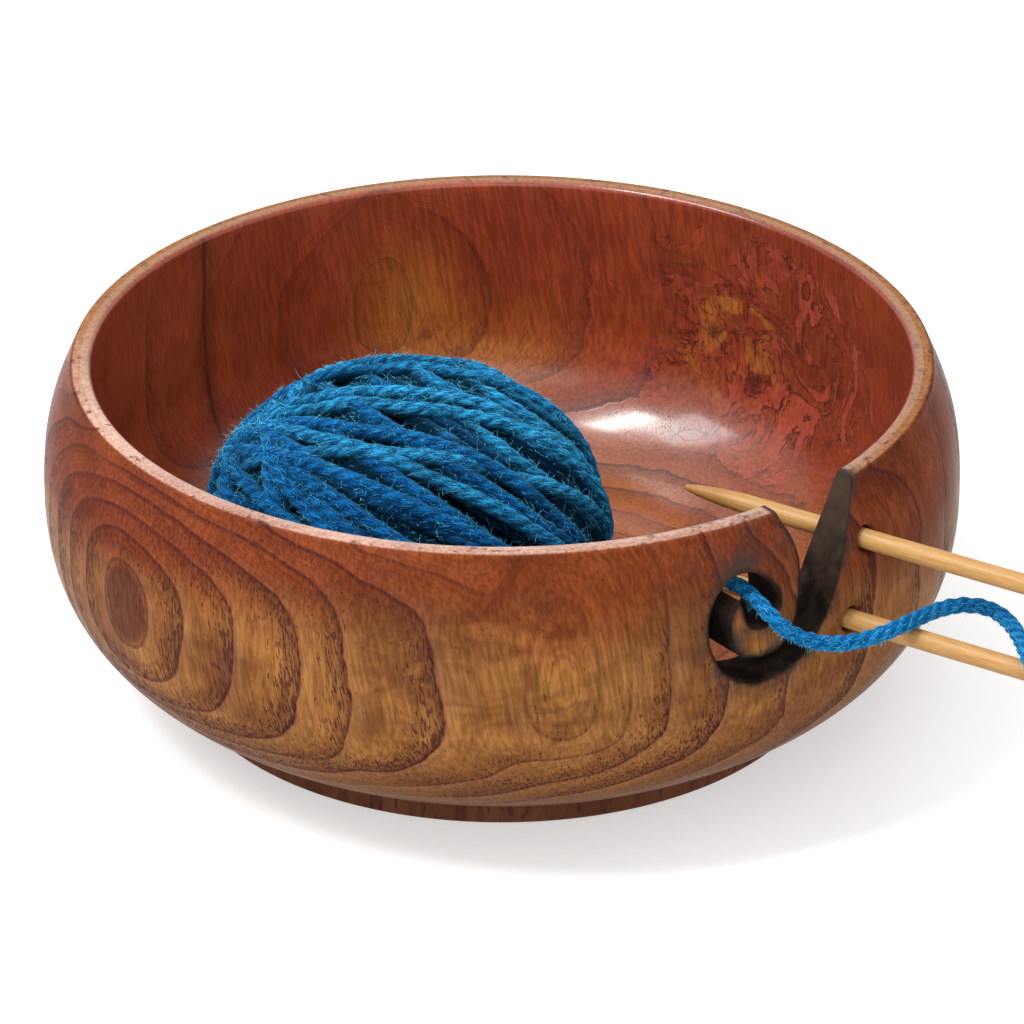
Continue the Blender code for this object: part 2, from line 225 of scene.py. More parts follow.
class Graph:
    """A material's node tree, built from short calls. Inputs are fields or plain values."""

    def __init__(self, name):
        self.material = bpy.data.materials.new(name)
        self.material.use_nodes = True
        self.tree = self.material.node_tree
        self.shader = self.tree.nodes["Principled BSDF"]
        self.place = self.field("ShaderNodeTexCoord", "Object", {})

    def put(self, socket, value):
        if isinstance(value, Field):
            self.tree.links.new(value.socket, socket)
        elif isinstance(value, tuple) and len(value) == 3 and socket.type == 'RGBA':
            socket.default_value = (*value, 1.0)
        else:
            socket.default_value = value

    def field(self, kind, output, inputs, **settings):
        """The output of a new node with the given inputs and settings."""
        node = self.tree.nodes.new(kind)
        for key, value in settings.items():
            setattr(node, key, value)
        for key, value in inputs.items():
            self.put(node.inputs[key], value)
        return Field(self, node.outputs[output])

    def attribute(self, name, output="Fac"):
        return self.field("ShaderNodeAttribute", output, {}, attribute_name=name)

    def math(self, operation, a, b=0.0, clamp=False):
        return self.field("ShaderNodeMath", 0, {0: a, 1: b}, operation=operation, use_clamp=clamp)

    def stretch(self, vector, scale):
        return self.field("ShaderNodeVectorMath", 0, {0: vector, 1: scale}, operation='MULTIPLY')

    def noise(self, vector, scale, detail=3.0, roughness=0.5, distortion=0.0):
        inputs = {"Vector": vector, "Scale": scale, "Detail": detail, "Roughness": roughness,
                  "Distortion": distortion}
        return self.field("ShaderNodeTexNoise", "Fac", inputs)

    def noise_1d(self, value, scale, detail):
        inputs = {"W": value, "Scale": scale, "Detail": detail}
        return self.field("ShaderNodeTexNoise", "Fac", inputs, noise_dimensions='1D')

    def cells(self, vector, scale):
        return self.field("ShaderNodeTexVoronoi", "Distance", {"Vector": vector, "Scale": scale})

    def step(self, value, low, high, to_low=0.0, to_high=1.0):
        """A smooth step from to_low, where value is low, to to_high, where it is high."""
        inputs = dict(enumerate((value, low, high, to_low, to_high)))
        return self.field("ShaderNodeMapRange", 0, inputs, interpolation_type='SMOOTHSTEP')

    def stairs(self, value, levels):
        """One grey level after the other, as value goes from 0 to 1."""
        stairs = self.field("ShaderNodeValToRGB", "Color", {0: value})
        elements = stairs.socket.node.color_ramp.elements
        while len(elements) < len(levels):
            elements.new(0.5)
        for k, (element, level) in enumerate(zip(elements, levels)):
            element.position = k / len(levels)
            element.color = (level, level, level, 1.0)
        stairs.socket.node.color_ramp.interpolation = 'CONSTANT'
        return stairs

    def mix(self, factor, a, b, blend='MIX'):
        """a where the factor is 0, and b (or a times b, for 'MULTIPLY') where it is 1."""
        return self.field("ShaderNodeMix", 2, {0: factor, 6: a, 7: b}, data_type='RGBA', blend_type=blend)

    def bump(self, height, strength, distance, **normal):
        inputs = {"Height": height, "Strength": strength, "Distance": distance}
        return self.field("ShaderNodeBump", 0, {**inputs, **normal})

    def finish(self, colour, roughness, normal, **fixed):
        inputs = {"Base Color": colour, "Roughness": roughness, "Normal": normal, **fixed}
        for name, value in inputs.items():
            self.put(self.shader.inputs[name.replace("_", " ")], value)
        return self.material


# Colours of the bowl's wood, as linear red, green and blue.
UMBER, GOLD = (0.150, 0.056, 0.020), (0.325, 0.142, 0.038)
STRAW, PEAT = (0.430, 0.190, 0.050), (0.120, 0.038, 0.016)
OLIVE, FAWN = (0.145, 0.053, 0.010), (0.340, 0.165, 0.078)
FINE_LINE, RING_DARK = (0.140, 0.050, 0.019), (0.088, 0.029, 0.018)
MAHOGANY, RUSSET = (0.240, 0.039, 0.0155), (0.318, 0.056, 0.020)
AMBER, INNER_LINE = (0.42, 0.150, 0.026), (0.150, 0.030, 0.014)
INNER_DARK = (0.090, 0.017, 0.009)
SEAM_SHADE, SEAM_LINE = (0.105, 0.020, 0.010), (0.050, 0.012, 0.008)
EMBER, BRICK = (0.40, 0.150, 0.028), (0.330, 0.055, 0.030)
CRACK, DOT = (0.050, 0.010, 0.008), (0.045, 0.010, 0.007)
# Pale pinks of a painted reflection on the rim's top.
RIM_PINK, RIM_PALE = (0.36, 0.200, 0.150), (0.50, 0.315, 0.245)
RIM_BROWN, RIM_FLECK = (0.26, 0.112, 0.044), (0.10, 0.036, 0.026)
PORE, RING_LINE = (0.040, 0.012, 0.012), (0.040, 0.011, 0.011)
SMOKE, ASH = (0.042, 0.030, 0.026), (0.055, 0.036, 0.025)
SOOT, SOOT_BROWN = (0.008, 0.006, 0.005), (0.030, 0.019, 0.013)
# Tints that a colour is multiplied by: a red tint, partly the wood's own red and partly painted shade;
# painted shade on the inside; and dark fibres.
RED_SHADE_TINT, INSIDE_DARKENING_TINT, FIBRE_TINT = (0.62, 0.34, 0.38), (0.74, 0.70, 0.70), (0.36, 0.27, 0.24)

# How bold each growth ring's dark line is, from the heart outwards.
RING_BOLDNESS = (0.5, 0.8, 0.8, 1.0, 0.75, 1.0, 0.6, 0.85, 0.95, 0.6, 1.0, 0.7, 0.9, 0.6, 1.0, 0.8)
FIBRE_LEAN = 0.16           # radians from upright


def wood_grain(g):
    """The bowl's growth rings, fibres and pores, which its colours and its relief share."""
    w = SimpleNamespace(inside=g.attribute("inside"), height=g.attribute("height"),
                        calm=g.attribute("calm"), burl=g.attribute("burl"))
    w.broad = g.noise(g.place, 18.0, 2.0)
    w.medium = g.noise(g.place, 70.0, 3.0, 0.55)
    w.knotted = g.noise(g.place, 95.0, 4.0, 0.6, 0.6)
    w.patch = g.noise(g.stretch(g.place, (1.0, 1.0, 1.7)), 34.0, 4.0, 0.62)
    twist = (w.knotted - 0.5) * w.burl * 9.0
    w.ring = (g.attribute("growth") + (w.broad - 0.5) * 0.6) + ((w.medium - 0.5) * 0.26 + twist)

    # Distances in mm from the ring's dark line: before it the wood darkens, after it is clear.
    width = g.attribute("ring_width")
    phase = g.math('FRACT', w.ring)
    before = (1.0 - phase) * width
    w.after = phase * width
    outside = 1.0 - w.inside
    bold = g.stairs(g.math('DIVIDE', w.ring, len(RING_BOLDNESS)), RING_BOLDNESS)
    bold = bold * g.step(g.noise(g.place, 30.0, 2.0), 0.30, 0.55, 0.6, 1.0)
    bold = bold * g.step(w.inside, 0.0, 1.0, 1.0, 0.80)
    line = g.math('MAXIMUM', g.step(before, 0.25, 0.8, 1.0, 0.0), g.step(w.after, 0.08, 0.3, 1.0, 0.0))
    line = line * bold * g.step(w.calm, 0.0, 1.0, 1.0, 0.30)
    w.line = line * g.math('MAXIMUM', outside, g.step(w.height, 0.26, 0.42, 1.0, 0.42))
    dark = g.math('POWER', g.step(before, -3.0, 7.5, 1.0, 0.0), 1.5)
    dark = dark * g.step(w.height, 0.75, 1.0, 1.0, 0.45)
    dark = dark * bold * g.step(w.calm, 0.0, 0.8, 1.0, 0.0)
    w.dark = g.math('MAXIMUM', dark, g.step(w.ring, 0.75, 1.0, 1.0, 0.0) * outside)
    crowded = g.step(before, 0.0, 11.0, 1.0, 0.0)
    crowded = crowded * bold * g.step(w.calm, 0.0, 0.8, 1.0, 0.3)
    crowded = crowded * g.step(w.height, 0.70, 0.95, 1.0, 0.5)

    # Fibres and pores: fine strokes that lean a little from upright.
    leaning = g.field("ShaderNodeVectorRotate", 0, {"Vector": g.place, "Angle": FIBRE_LEAN},
                      rotation_type='Y_AXIS')
    strokes = g.stretch(leaning, (1.0, 1.0, 0.17))
    w.dash = g.noise(strokes, 2700.0, 2.0, 0.5)
    w.hair = g.noise(g.stretch(leaning, (1.0, 1.0, 0.07)), 1500.0, 3.0, 0.6)
    pore = w.dash - g.step(crowded, 0.0, 0.95, 0.68, 0.50)
    vessel = g.noise(strokes, 1150.0, 2.0, 0.5) - g.step(crowded, 0.0, 0.9, 0.76, 0.64)
    w.pore = g.math('MAXIMUM', g.step(pore, 0.0, 0.05), g.step(vessel, 0.0, 0.05))
    return w


def outside_colour(g, w):
    """Golden and olive low down, red-brown towards the rim, mottled, and painted darker red towards the
    sides and back as painted shade.
    """
    quilt = g.attribute("quilt")
    gold = g.mix(g.step(w.patch, 0.34, 0.64), UMBER, GOLD)
    waves = g.noise(g.stretch(g.place, (0.5, 0.5, 1.0)), 100.0, 3.0, 0.6, 1.6)
    gold = g.mix(g.step(waves, 0.44, 0.68) * g.step(quilt, 0.0, 1.0, 0.12, 0.55), gold, STRAW)
    gold = g.mix(g.step(waves, 0.50, 0.34) * g.step(quilt, 0.0, 1.0, 0.10, 0.55), gold, PEAT)
    outer = g.mix(g.step(w.height, 0.17, 0.50, 0.9, 0.0), gold, OLIVE)
    fine = g.noise_1d(w.ring, 9.0, 3.0)
    outer = g.mix(g.step(fine, 0.36, 0.66, 0.0, 0.38), outer, FINE_LINE)
    pale_band = g.step(w.after, 0.3, 5.0, 1.0, 0.0) * g.step(w.ring, 0.9, 1.1)
    outer = g.mix(pale_band * g.step(w.calm, 0.0, 1.0, 0.22, 0.0), outer, FAWN)
    outer = g.mix(w.dark * 0.84, outer, RING_DARK)
    # Redder towards the rim, in the wood, and darker and redder towards the sides and back, as painted
    # shade.
    red_shade_mask = g.attribute("red_and_side_shade") + (w.patch - 0.5) * 1.3
    return g.mix(g.step(red_shade_mask, 0.22, 1.0), outer, RED_SHADE_TINT, 'MULTIPLY')


def inside_colour(g, w):
    """Dark red-brown, with a golden heart in the figure and on the floor, and a dark seam; painted shade
    on the right, and darker low down.
    """
    inner = g.mix(g.step(w.medium, 0.3, 0.72), MAHOGANY, RUSSET)
    inner = g.mix(g.attribute("amber") * g.step(w.patch, 0.30, 0.60, 0.25, 1.0), inner, AMBER)
    finer = g.noise_1d(w.ring + w.medium * 0.25, 31.0, 2.0)
    inner = g.mix(g.step(finer, 0.42, 0.68, 0.0, 0.35), inner, INNER_LINE)
    inner = g.mix(w.dark * 0.95, inner, INNER_DARK)
    seam = g.math('ABSOLUTE', g.attribute("seam") + (w.broad - 0.5) * 8.0)
    fading = g.step(w.height, 0.22, 0.42)
    inner = g.mix(g.step(seam, 0.0, 4.5, 0.55, 0.0) * fading, inner, SEAM_SHADE)
    inner = g.mix(g.step(seam, 0.2, 0.8, 0.75, 0.0) * fading, inner, SEAM_LINE)
    # Painted shade on the right of the inside, against the window lamp's light there, and darker low down
    # over the floor.
    inner = g.mix(g.attribute("inside_darkening"), inner, INSIDE_DARKENING_TINT, 'MULTIPLY')
    return burl_colour(g, w, inner)


def burl_colour(g, w, inner):
    """The knotted burl: a golden heart, brick-red islands with dark cracks, and dots."""
    ember = g.attribute("ember")
    knot = g.step(w.burl + (w.knotted - 0.5) * 1.6, 0.22, 0.48)
    spark = g.noise(g.place, 150.0, 4.0, 0.65, 0.8)
    inner = g.mix(g.step(spark, 0.46, 0.62) * ember * 0.85, inner, EMBER)
    wave = g.noise(g.place, 78.0, 5.0, 0.62, 2.2)
    brick = g.step(wave, 0.515, 0.54) * (1.0 - ember)
    inner = g.mix(brick * knot * 0.8, inner, BRICK)
    crack = g.step(wave, 0.47, 0.515) * g.step(wave, 0.515, 0.53, 1.0, 0.0)
    inner = g.mix(crack * knot * 0.9, inner, CRACK)
    dots = g.step(g.cells(g.place, 105.0), 0.10, 0.26, 1.0, 0.0)
    return g.mix(dots * knot * 0.7, inner, DOT)


def rim_colour(g, w, colour):
    """The rim's top is brown, painted pale pink towards the front as a painted reflection, with small
    dark flecks.
    """
    flecks = g.step(g.noise(g.place, 420.0, 2.0, 0.6), 0.60, 0.68)
    # Painted reflection: pale pink on the rim's top towards the front, brown elsewhere.
    pale = g.mix(g.step(w.medium, 0.3, 0.7), RIM_PINK, RIM_PALE)
    pale = g.mix(g.attribute("rim_front_reflection"), RIM_BROWN, pale)
    pale = g.mix(flecks * 0.75, pale, RIM_FLECK)
    return g.mix(g.attribute("rim"), colour, pale)


def bowl_wood(name, refraction, wax):
    """Waxed hardwood with growth rings. The mesh's attributes say where each ring lies."""
    g = Graph(name)
    w = wood_grain(g)
    colour = g.mix(w.inside, outside_colour(g, w), inside_colour(g, w))
    colour = rim_colour(g, w, colour)

    # Strokes of light and dark fibre, then the pores, densest where the ring is dark.
    colour = g.mix(g.step(w.hair, 0.38, 0.62, 0.46, 0.0), colour, FIBRE_TINT, 'MULTIPLY')
    colour = g.mix(w.pore * g.step(w.inside, 0.0, 1.0, 0.80, 0.40), colour, PORE)
    ragged = w.line * g.step(w.dash, 0.38, 0.56, 0.45, 1.0)
    colour = g.mix(ragged * 0.92, colour, RING_LINE)

    # Scorched faces of the guide, and the grey bloom around them.
    char = g.attribute("char")
    smoke = g.noise(g.place, 190.0, 4.0, 0.6)
    blots = g.step(g.noise(g.place, 75.0, 3.0, 0.6), 0.42, 0.60, 0.35, 1.5)
    bloom = g.math('MULTIPLY', g.attribute("stain") * blots, g.step(smoke, 0.32, 0.58), True)
    colour = g.mix(bloom * 0.85, colour, SMOKE)
    soot = g.mix(g.step(g.noise(g.place, 260.0, 4.0, 0.65), 0.35, 0.7), SOOT, SOOT_BROWN)
    soot = g.mix(g.step(w.height, 0.72, 1.0, 0.0, 0.6), soot, ASH)
    colour = g.mix(char, colour, soot)

    rough = g.step(w.medium, 0.2, 0.8, 0.24, 0.34) + w.pore * 0.22 + char * 0.42 + bloom * 0.15
    relief = w.pore * -1.0 + w.hair * 0.3 + w.line * -0.8
    normal = g.bump(relief, 0.4, 0.10 * MM)
    charred = g.noise(g.place, 700.0, 3.0, 0.6) * char
    normal = g.bump(charred, 0.5, 0.2 * MM, Normal=normal)
    return g.finish(colour, rough, normal, IOR=refraction, Coat_Weight=wax, Coat_Roughness=0.13)


def foot_wood():
    """Pinkish brown hardwood, matt, with short dark pores that stand upright on its edge."""
    g = Graph("foot_wood")
    upright = g.stretch(g.place, (1.0, 1.0, 0.18))
    stripes = g.noise(upright, 330.0, 3.0, 0.6)
    fine = g.noise(upright, 1100.0, 2.0, 0.5)
    broad = g.noise(g.place, 55.0, 2.0)
    colour = g.mix(g.step(broad, 0.3, 0.7), (0.085, 0.028, 0.012), (0.125, 0.045, 0.021))
    colour = g.mix(g.step(stripes, 0.46, 0.70, 0.0, 0.75), colour, (0.060, 0.020, 0.012))
    colour = g.mix(g.step(fine, 0.57, 0.66, 0.0, 0.7), colour, (0.035, 0.012, 0.010))
    return g.finish(colour, g.step(stripes, 0.3, 0.8, 0.42, 0.58), g.bump(fine * -1.0, 0.3, 0.12 * MM),
                    IOR=1.12)


# Blues of the wool, as (deep, light) in linear red, green and blue, and its tints: painted light, painted
# shade and the sheen's tint.
LOOSE_WOOL = ((0.0005, 0.040, 0.165), (0.008, 0.200, 0.480))
# The fuzz is lighter than the yarn, as painted sheen on its stray fibres.
WOOL_FUZZ = ((0.006, 0.150, 0.36), (0.030, 0.300, 0.60))
BALL_WOOL = ((0.0001, 0.0065, 0.040), (0.0035, 0.125, 0.385))
# The ball's heart: painted near black, as painted shade between the windings.
HEART_SHADE_WOOL = ((0.0008, 0.008, 0.030), (0.002, 0.018, 0.060))
PAINTED_LIGHT_TINT, SHADY_TINT, SHEEN_TINT = (5.5, 2.7, 1.75), (0.5, 0.5, 0.55), (0.10, 0.62, 1.0)


def shaded(colour, factor):
    return tuple(factor * part for part in colour)


def yarn_wool(name, deep, light, sheen):
    """Plied wool. The fibre attribute runs along each strand, so streaks follow it. Light and shade are
    painted from the strands' attributes: lighter where lit, darker in creases and hollows.
    """
    g = Graph(name)
    fibre = g.attribute("fibre", "Vector")
    tone_and_light = g.attribute("tone_and_light")
    streak = g.noise(fibre, 4.2, 3.0, 0.65)
    hairs = g.noise(fibre, 13.0, 2.0, 0.6)
    clump = g.noise(g.place, 150.0, 2.0)
    # Light hairs along the fibres, painted brighter than the wool as glints on them.
    hair_and_glint_colour = (light[0] * 4 + 0.008, light[1] * 2.1, min(1.0, light[2] * 1.7))
    colour = g.mix(g.step(streak, 0.42, 0.60), deep, light)
    colour = g.mix(g.step(hairs, 0.53, 0.68, 0.0, 0.75), colour, hair_and_glint_colour)
    colour = g.mix(g.step(clump, 0.35, 0.7, 0.0, 0.3), colour, deep)
    # Painted light and shade: lighter where the tone is high, towards the lit top of the ball, and darker
    # where it is low.
    colour = g.mix(g.step(tone_and_light, 0.55, 1.05), colour, PAINTED_LIGHT_TINT, 'MULTIPLY')
    colour = g.mix(g.step(tone_and_light, 0.0, 0.5, 0.6, 0.0), colour, SHADY_TINT, 'MULTIPLY')
    # Painted shade in the creases between the plies.
    colour = g.mix(g.step(g.attribute("ridge"), 0.0, 0.8, 0.62, 0.0), colour, shaded(deep, 0.7))
    # Painted shade: strands that lie deep between others, and their sides, are painted dark.
    sunk = g.step(g.attribute("hollow"), 0.05, 0.68, 0.0, 0.96)
    colour = g.mix(sunk, colour, shaded(deep, 0.25))
    return g.finish(colour, 0.92, g.bump(streak * 0.6 + hairs * 0.5, 0.9, 0.35 * MM), IOR=1.12,
                    Sheen_Weight=sheen, Sheen_Roughness=0.5, Sheen_Tint=SHEEN_TINT)


def bamboo():
    """Polished bamboo: pale, with fine straight fibres and a few darker bundles; its points are painted
    darker brown, as painted shade and a painted reflection of the wood.
    """
    g = Graph("bamboo")
    fibre = g.attribute("fibre", "Vector")
    fine = g.noise(fibre, 5.5, 3.0, 0.6)
    bundle = g.noise(fibre, 2.1, 1.0, 0.5)
    colour = g.mix(g.step(fine, 0.3, 0.7), (0.31, 0.155, 0.043), (0.43, 0.240, 0.078))
    colour = g.mix(g.step(bundle, 0.56, 0.72, 0.0, 0.5), colour, (0.33, 0.160, 0.050))
    # Points painted darker brown: painted shade and a painted reflection of the red wood.
    colour = g.mix(g.attribute("point") * 0.75, colour, (0.27, 0.115, 0.022))
    return g.finish(colour, g.step(fine, 0.3, 0.7, 0.40, 0.52), g.bump(fine, 0.3, 0.1 * MM),
                    IOR=1.36, Coat_Weight=0.05, Coat_Roughness=0.25)


# ================================================================ mesh helpers
def add_mesh(name, verts, faces, material):
    mesh = bpy.data.meshes.new(name)
    mesh.from_pydata([tuple(v) for v in verts], [], [tuple(f) for f in faces])
    mesh.materials.append(material)
    mesh.shade_smooth()
    return add_object(name, mesh)


def add_object(name, data):
    obj = bpy.data.objects.new(name, data)
    bpy.context.scene.collection.objects.link(obj)
    return obj


def set_float(obj, name, values):
    """Stores a value for each vertex, or the same number for all of them."""
    layer = obj.data.attributes.new(name, 'FLOAT', 'POINT')
    values = np.broadcast_to(values, len(obj.data.vertices))
    layer.data.foreach_set("value", values.astype(np.float32))


def set_vector(obj, name, values):
    layer = obj.data.attributes.new(name, 'FLOAT_VECTOR', 'POINT')
    layer.data.foreach_set("vector", np.asarray(values, dtype=np.float32).ravel())


def set_wool(obj, fibre, tone_and_light, ridge, hollow):
    """Sets the attributes that the wool's shader reads."""
    set_vector(obj, "fibre", fibre)
    set_float(obj, "tone_and_light", tone_and_light)
    set_float(obj, "ridge", ridge)
    set_float(obj, "hollow", hollow)


def ring_faces(index):
    """Quads between the rows of an index grid. Each row is a closed ring."""
    low, high = index[:-1], index[1:]
    quads = np.stack((low, np.roll(low, -1, 1), np.roll(high, -1, 1), high), 2)
    return quads.reshape(-1, 4).tolist()


def tube_faces(index):
    """The same, with a face over each end."""
    return ring_faces(index) + [index[0][::-1].tolist(), index[-1].tolist()]


def vertex_places(obj):
    places = np.empty(len(obj.data.vertices) * 3)
    obj.data.vertices.foreach_get("co", places)
    return places.reshape(-1, 3)


def unit(vectors):
    return vectors / np.linalg.norm(vectors, axis=-1, keepdims=True)


def ease(values, low, high):
    """Smooth step of an array, 0 at low and 1 at high."""
    t = np.clip((values - low) / (high - low), 0.0, 1.0)
    return t * t * (3 - 2 * t)


def bezier(start, handle_1, handle_2, end, count):
    """Points along a cubic Bezier, without its first point."""
    t = np.linspace(0, 1, count + 1)[1:, None]
    s = 1 - t
    corners = [np.array(c) for c in (start, handle_1, handle_2, end)]
    return (s ** 3 * corners[0] + 3 * s * s * t * corners[1] + 3 * s * t * t * corners[2]
            + t ** 3 * corners[3])


def arc(centre, radius_r, radius_z, start, end, count):
    """Points along an elliptical arc in a profile's plane, angles in degrees."""
    angle = np.radians(np.linspace(start, end, count + 1))
    return np.stack((centre[0] + radius_r * np.cos(angle), centre[1] + radius_z * np.sin(angle)), 1)


def line(start, end, count):
    """Points along a straight line, without its first point."""
    t = np.linspace(0, 1, count + 1)[1:, None]
    return np.array(start) * (1 - t) + np.array(end) * t


def lathe(profile, angles):
    """A solid of revolution about Z. The profile begins and ends on the axis."""
    rows = profile[1:-1]
    cos, sin = np.cos(angles), np.sin(angles)
    rings = np.stack((rows[:, 0, None] * cos, rows[:, 0, None] * sin,
                      np.repeat(rows[:, 1, None], len(angles), 1)), 2).reshape(-1, 3)
    verts = np.vstack((rings, [(0, 0, profile[0][1]), (0, 0, profile[-1][1])]))
    count = len(angles)
    faces = ring_faces(np.arange(len(rings)).reshape(-1, count))
    first, last = len(rings), len(rings) + 1
    top = (len(rows) - 1) * count
    for k in range(count):
        after = (k + 1) % count
        faces.append((first, after, k))
        faces.append((last, top + k, top + after))
    return verts, faces


def loft(name, rings):
    """A closed solid through rings of equal length, with a face over each end."""
    bm = bmesh.new()
    rows = [[bm.verts.new(tuple(p)) for p in ring] for ring in rings]
    count = len(rows[0])
    for low, high in zip(rows, rows[1:]):
        for k in range(count):
            bm.faces.new((low[k], low[(k + 1) % count], high[(k + 1) % count], high[k]))
    bm.faces.new(rows[0])
    bm.faces.new(rows[-1])
    bmesh.ops.recalc_face_normals(bm, faces=bm.faces)
    mesh = bpy.data.meshes.new(name)
    bm.to_mesh(mesh)
    bm.free()
    return add_object(name, mesh)


def between(places, t, low_knots, high_knots):
    """Points part of the way from each place to the next one."""
    return [p + (q - p) * (t - low) / (high - low)
            for p, q, low, high in zip(places, places[1:], low_knots, high_knots)]


def smooth_route(points, step):
    """Evenly spaced points on a centripetal Catmull-Rom curve through the given points."""
    places = np.array(points, dtype=float)
    padded = np.vstack((2 * places[0] - places[1], places, 2 * places[-1] - places[-2]))
    dense = []
    for corners in zip(padded, padded[1:], padded[2:], padded[3:]):
        knots = [0.0]
        for p, q in zip(corners, corners[1:]):
            knots.append(knots[-1] + math.sqrt(np.linalg.norm(q - p)))
        for t in np.linspace(knots[1], knots[2], 16, endpoint=False):
            sides = between(corners, t, knots, knots[1:])
            chords = between(sides, t, knots, knots[2:])
            dense += between(chords, t, knots[1:], knots[2:])
    dense.append(places[-1])
    return evenly(np.array(dense), step)


def evenly(dense, step):
    """The same line with points a step apart."""
    lengths = np.append(0.0, np.cumsum(np.linalg.norm(np.diff(dense, axis=0), axis=1)))
    targets = np.linspace(0.0, lengths[-1], round(lengths[-1] / step) + 1)
    return np.stack([np.interp(targets, lengths, dense[:, k]) for k in range(3)], 1)


# ================================================================ strands
def soft_section(radius, sides, depth):
    """Three plies that press together so far that only shallow creases are left."""
    angles = np.linspace(0, 2 * math.pi, sides, endpoint=False)
    return angles, radius * (1 - depth + depth * np.cos(3 * angles))


# The fibre texture: its scale round a strand and along it, its turn, and its range of starts.
FIBRE_ROUND, FIBRE_ALONG, FIBRE_TURN, FIBRE_STARTS = 1.5, MM / 0.12, 4.2 * MM, 40


class Strands:
    """Swept strands gathered into one mesh, with attributes that follow the fibres."""

    def __init__(self):
        self.parts = []         # places, fibre, tone with painted light and shade, ridge and hollow of each strand's vertices
        self.faces = []
        self.count = 0

    def add(self, centres, normals, section, turn, closed, tone_and_light, swell, sunk=None):
        """Sweeps the section along the centres. It turns once in each length of turn.

        swell roughens the thickness, and sunk is how deep each point lies below its neighbours, which is
        painted as shade.
        """
        section_angles, section_radii = section
        if closed:
            tangents = unit(np.roll(centres, -1, 0) - np.roll(centres, 1, 0))
        else:
            tangents = unit(np.gradient(centres, axis=0))
        normals = unit(normals - (normals * tangents).sum(1, keepdims=True) * tangents)
        across = np.cross(tangents, normals)
        steps = np.linalg.norm(np.roll(centres, -1, 0) - centres, axis=1)
        along = np.append(0.0, np.cumsum(steps[:-1]))
        total = along[-1] + (steps[-1] if closed else 0.0)
        thirds = round(total / turn * 3)        # a whole number, so that a closed strand's plies meet
        twist = along / total * (thirds * (2 * math.pi / 3))
        angles = section_angles[None, :] + twist[:, None]
        thick = 1 + swell * (random.random(len(centres)) - 0.5)
        thick = (np.roll(thick, 1) + thick * 2 + np.roll(thick, -1)) / 4
        radii = section_radii[None, :] * thick[:, None]
        rings = (centres[:, None] + (radii * np.cos(angles))[..., None] * normals[:, None]
                 + (radii * np.sin(angles))[..., None] * across[:, None])
        rows, sides = angles.shape
        start = random.random() * FIBRE_STARTS
        lean = angles + along[:, None] / FIBRE_TURN
        fibre = np.stack((np.cos(lean) * FIBRE_ROUND, np.sin(lean) * FIBRE_ROUND,
                          np.repeat((along / FIBRE_ALONG + start)[:, None], sides, 1)), 2)
        # ridge: 1 on the plies' crowns and 0 in the creases, which the shader paints as shade.
        ridge = np.tile((section_radii - section_radii.min()) / np.ptp(section_radii), rows)
        # hollow: depth below the neighbouring strands, which the shader paints as shade.
        hollow = np.zeros(angles.shape)
        if sunk is not None:
            hollow = sunk[:, None] + radii * (1 - np.cos(angles))
        self.parts.append((rings.reshape(-1, 3), fibre.reshape(-1, 3), np.repeat(tone_and_light, sides), ridge,
                           hollow.ravel() / HOLLOW_DEPTH))
        index = np.arange(rows * sides).reshape(rows, sides) + self.count
        if closed:
            shift = thirds % 3 * (sides // 3)
            index = np.vstack((index, np.roll(index[:1], -shift, 1)))
        self.faces += ring_faces(index) if closed else tube_faces(index)
        self.count += rows * sides

    def build(self, name, material):
        places, *paint = (np.concatenate(column) for column in zip(*self.parts))
        obj = add_mesh(name, places, self.faces, material)
        set_wool(obj, *paint)
        return obj


def carried_normals(centres):
    """Normals carried along an open line without twisting."""
    tangents = unit(np.gradient(centres, axis=0))
    normal = np.cross(tangents[0], (0.3, 0.2, 1.0))
    normals = []
    for tangent in tangents:
        normal = normal - tangent * np.dot(normal, tangent)
        normal = normal / np.linalg.norm(normal)
        normals.append(normal)
    return np.array(normals)


# ================================================================ working yarn
def coil_path():
    """Two layers of two turns each, in mm: out, in, up, in, out. Starts where the route ends."""
    start_r, outer_r, inner_r = 21.6, 18.0, 15.0
    low_z, high_z = 1.75, 4.6
    angles = np.radians(np.arange(8.0, 360 * COIL_TURNS, 3.0))
    turn = np.degrees(angles)
    radius = np.interp(turn, (0, 100, 300, 420, 950, 1050),
                       (start_r, outer_r, outer_r, inner_r, inner_r, outer_r))
    height = np.interp(turn, (0, 590, 700), (low_z, low_z, high_z))
    x = COIL_CENTRE[0] / MM + radius * np.sin(angles)
    y = COIL_CENTRE[1] / MM - radius * np.cos(angles)
    return np.stack((x, y, height), 1)


def yarn_centres():
    """The working yarn's centre line, smoothed so that no bend is sharper than a real one."""
    route = smooth_route(YARN_OFF_BALL + YARN_ROUTE, 2.0)
    dense = evenly(np.vstack((route[:-3], coil_path())), 1.0)
    kernel = np.array((1, 3, 5, 3, 1)) / 13
    for _ in range(4):
        middle = np.stack([np.convolve(dense[:, k], kernel, 'valid') for k in range(3)], 1)
        dense = np.vstack((dense[:2], middle, dense[-2:]))
    return evenly(dense, 0.8) * MM


def build_working_yarn(material, fuzz_material):
    centres = yarn_centres()
    normals = carried_normals(centres)
    strands = Strands()
    section = soft_section(YARN_D / 2 * YARN_LOFT, 15, 0.10)
    tone_and_light = np.full(len(centres), YARN_TONE)
    strands.add(centres, normals, section, YARN_TURN, False, tone_and_light, YARN_SWELL)
    yarn = strands.build("working_yarn_plied", material)
    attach(yarn, "bowl")
    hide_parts("working_yarn", "yarn_coil")
    fuzz = build_fuzz("working_yarn_fuzz", [(centres, normals)], fuzz_material, YARN_FUZZ_COUNT,
                      SHORT_FUZZ, YARN_D / 2)
    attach(fuzz, "bowl")


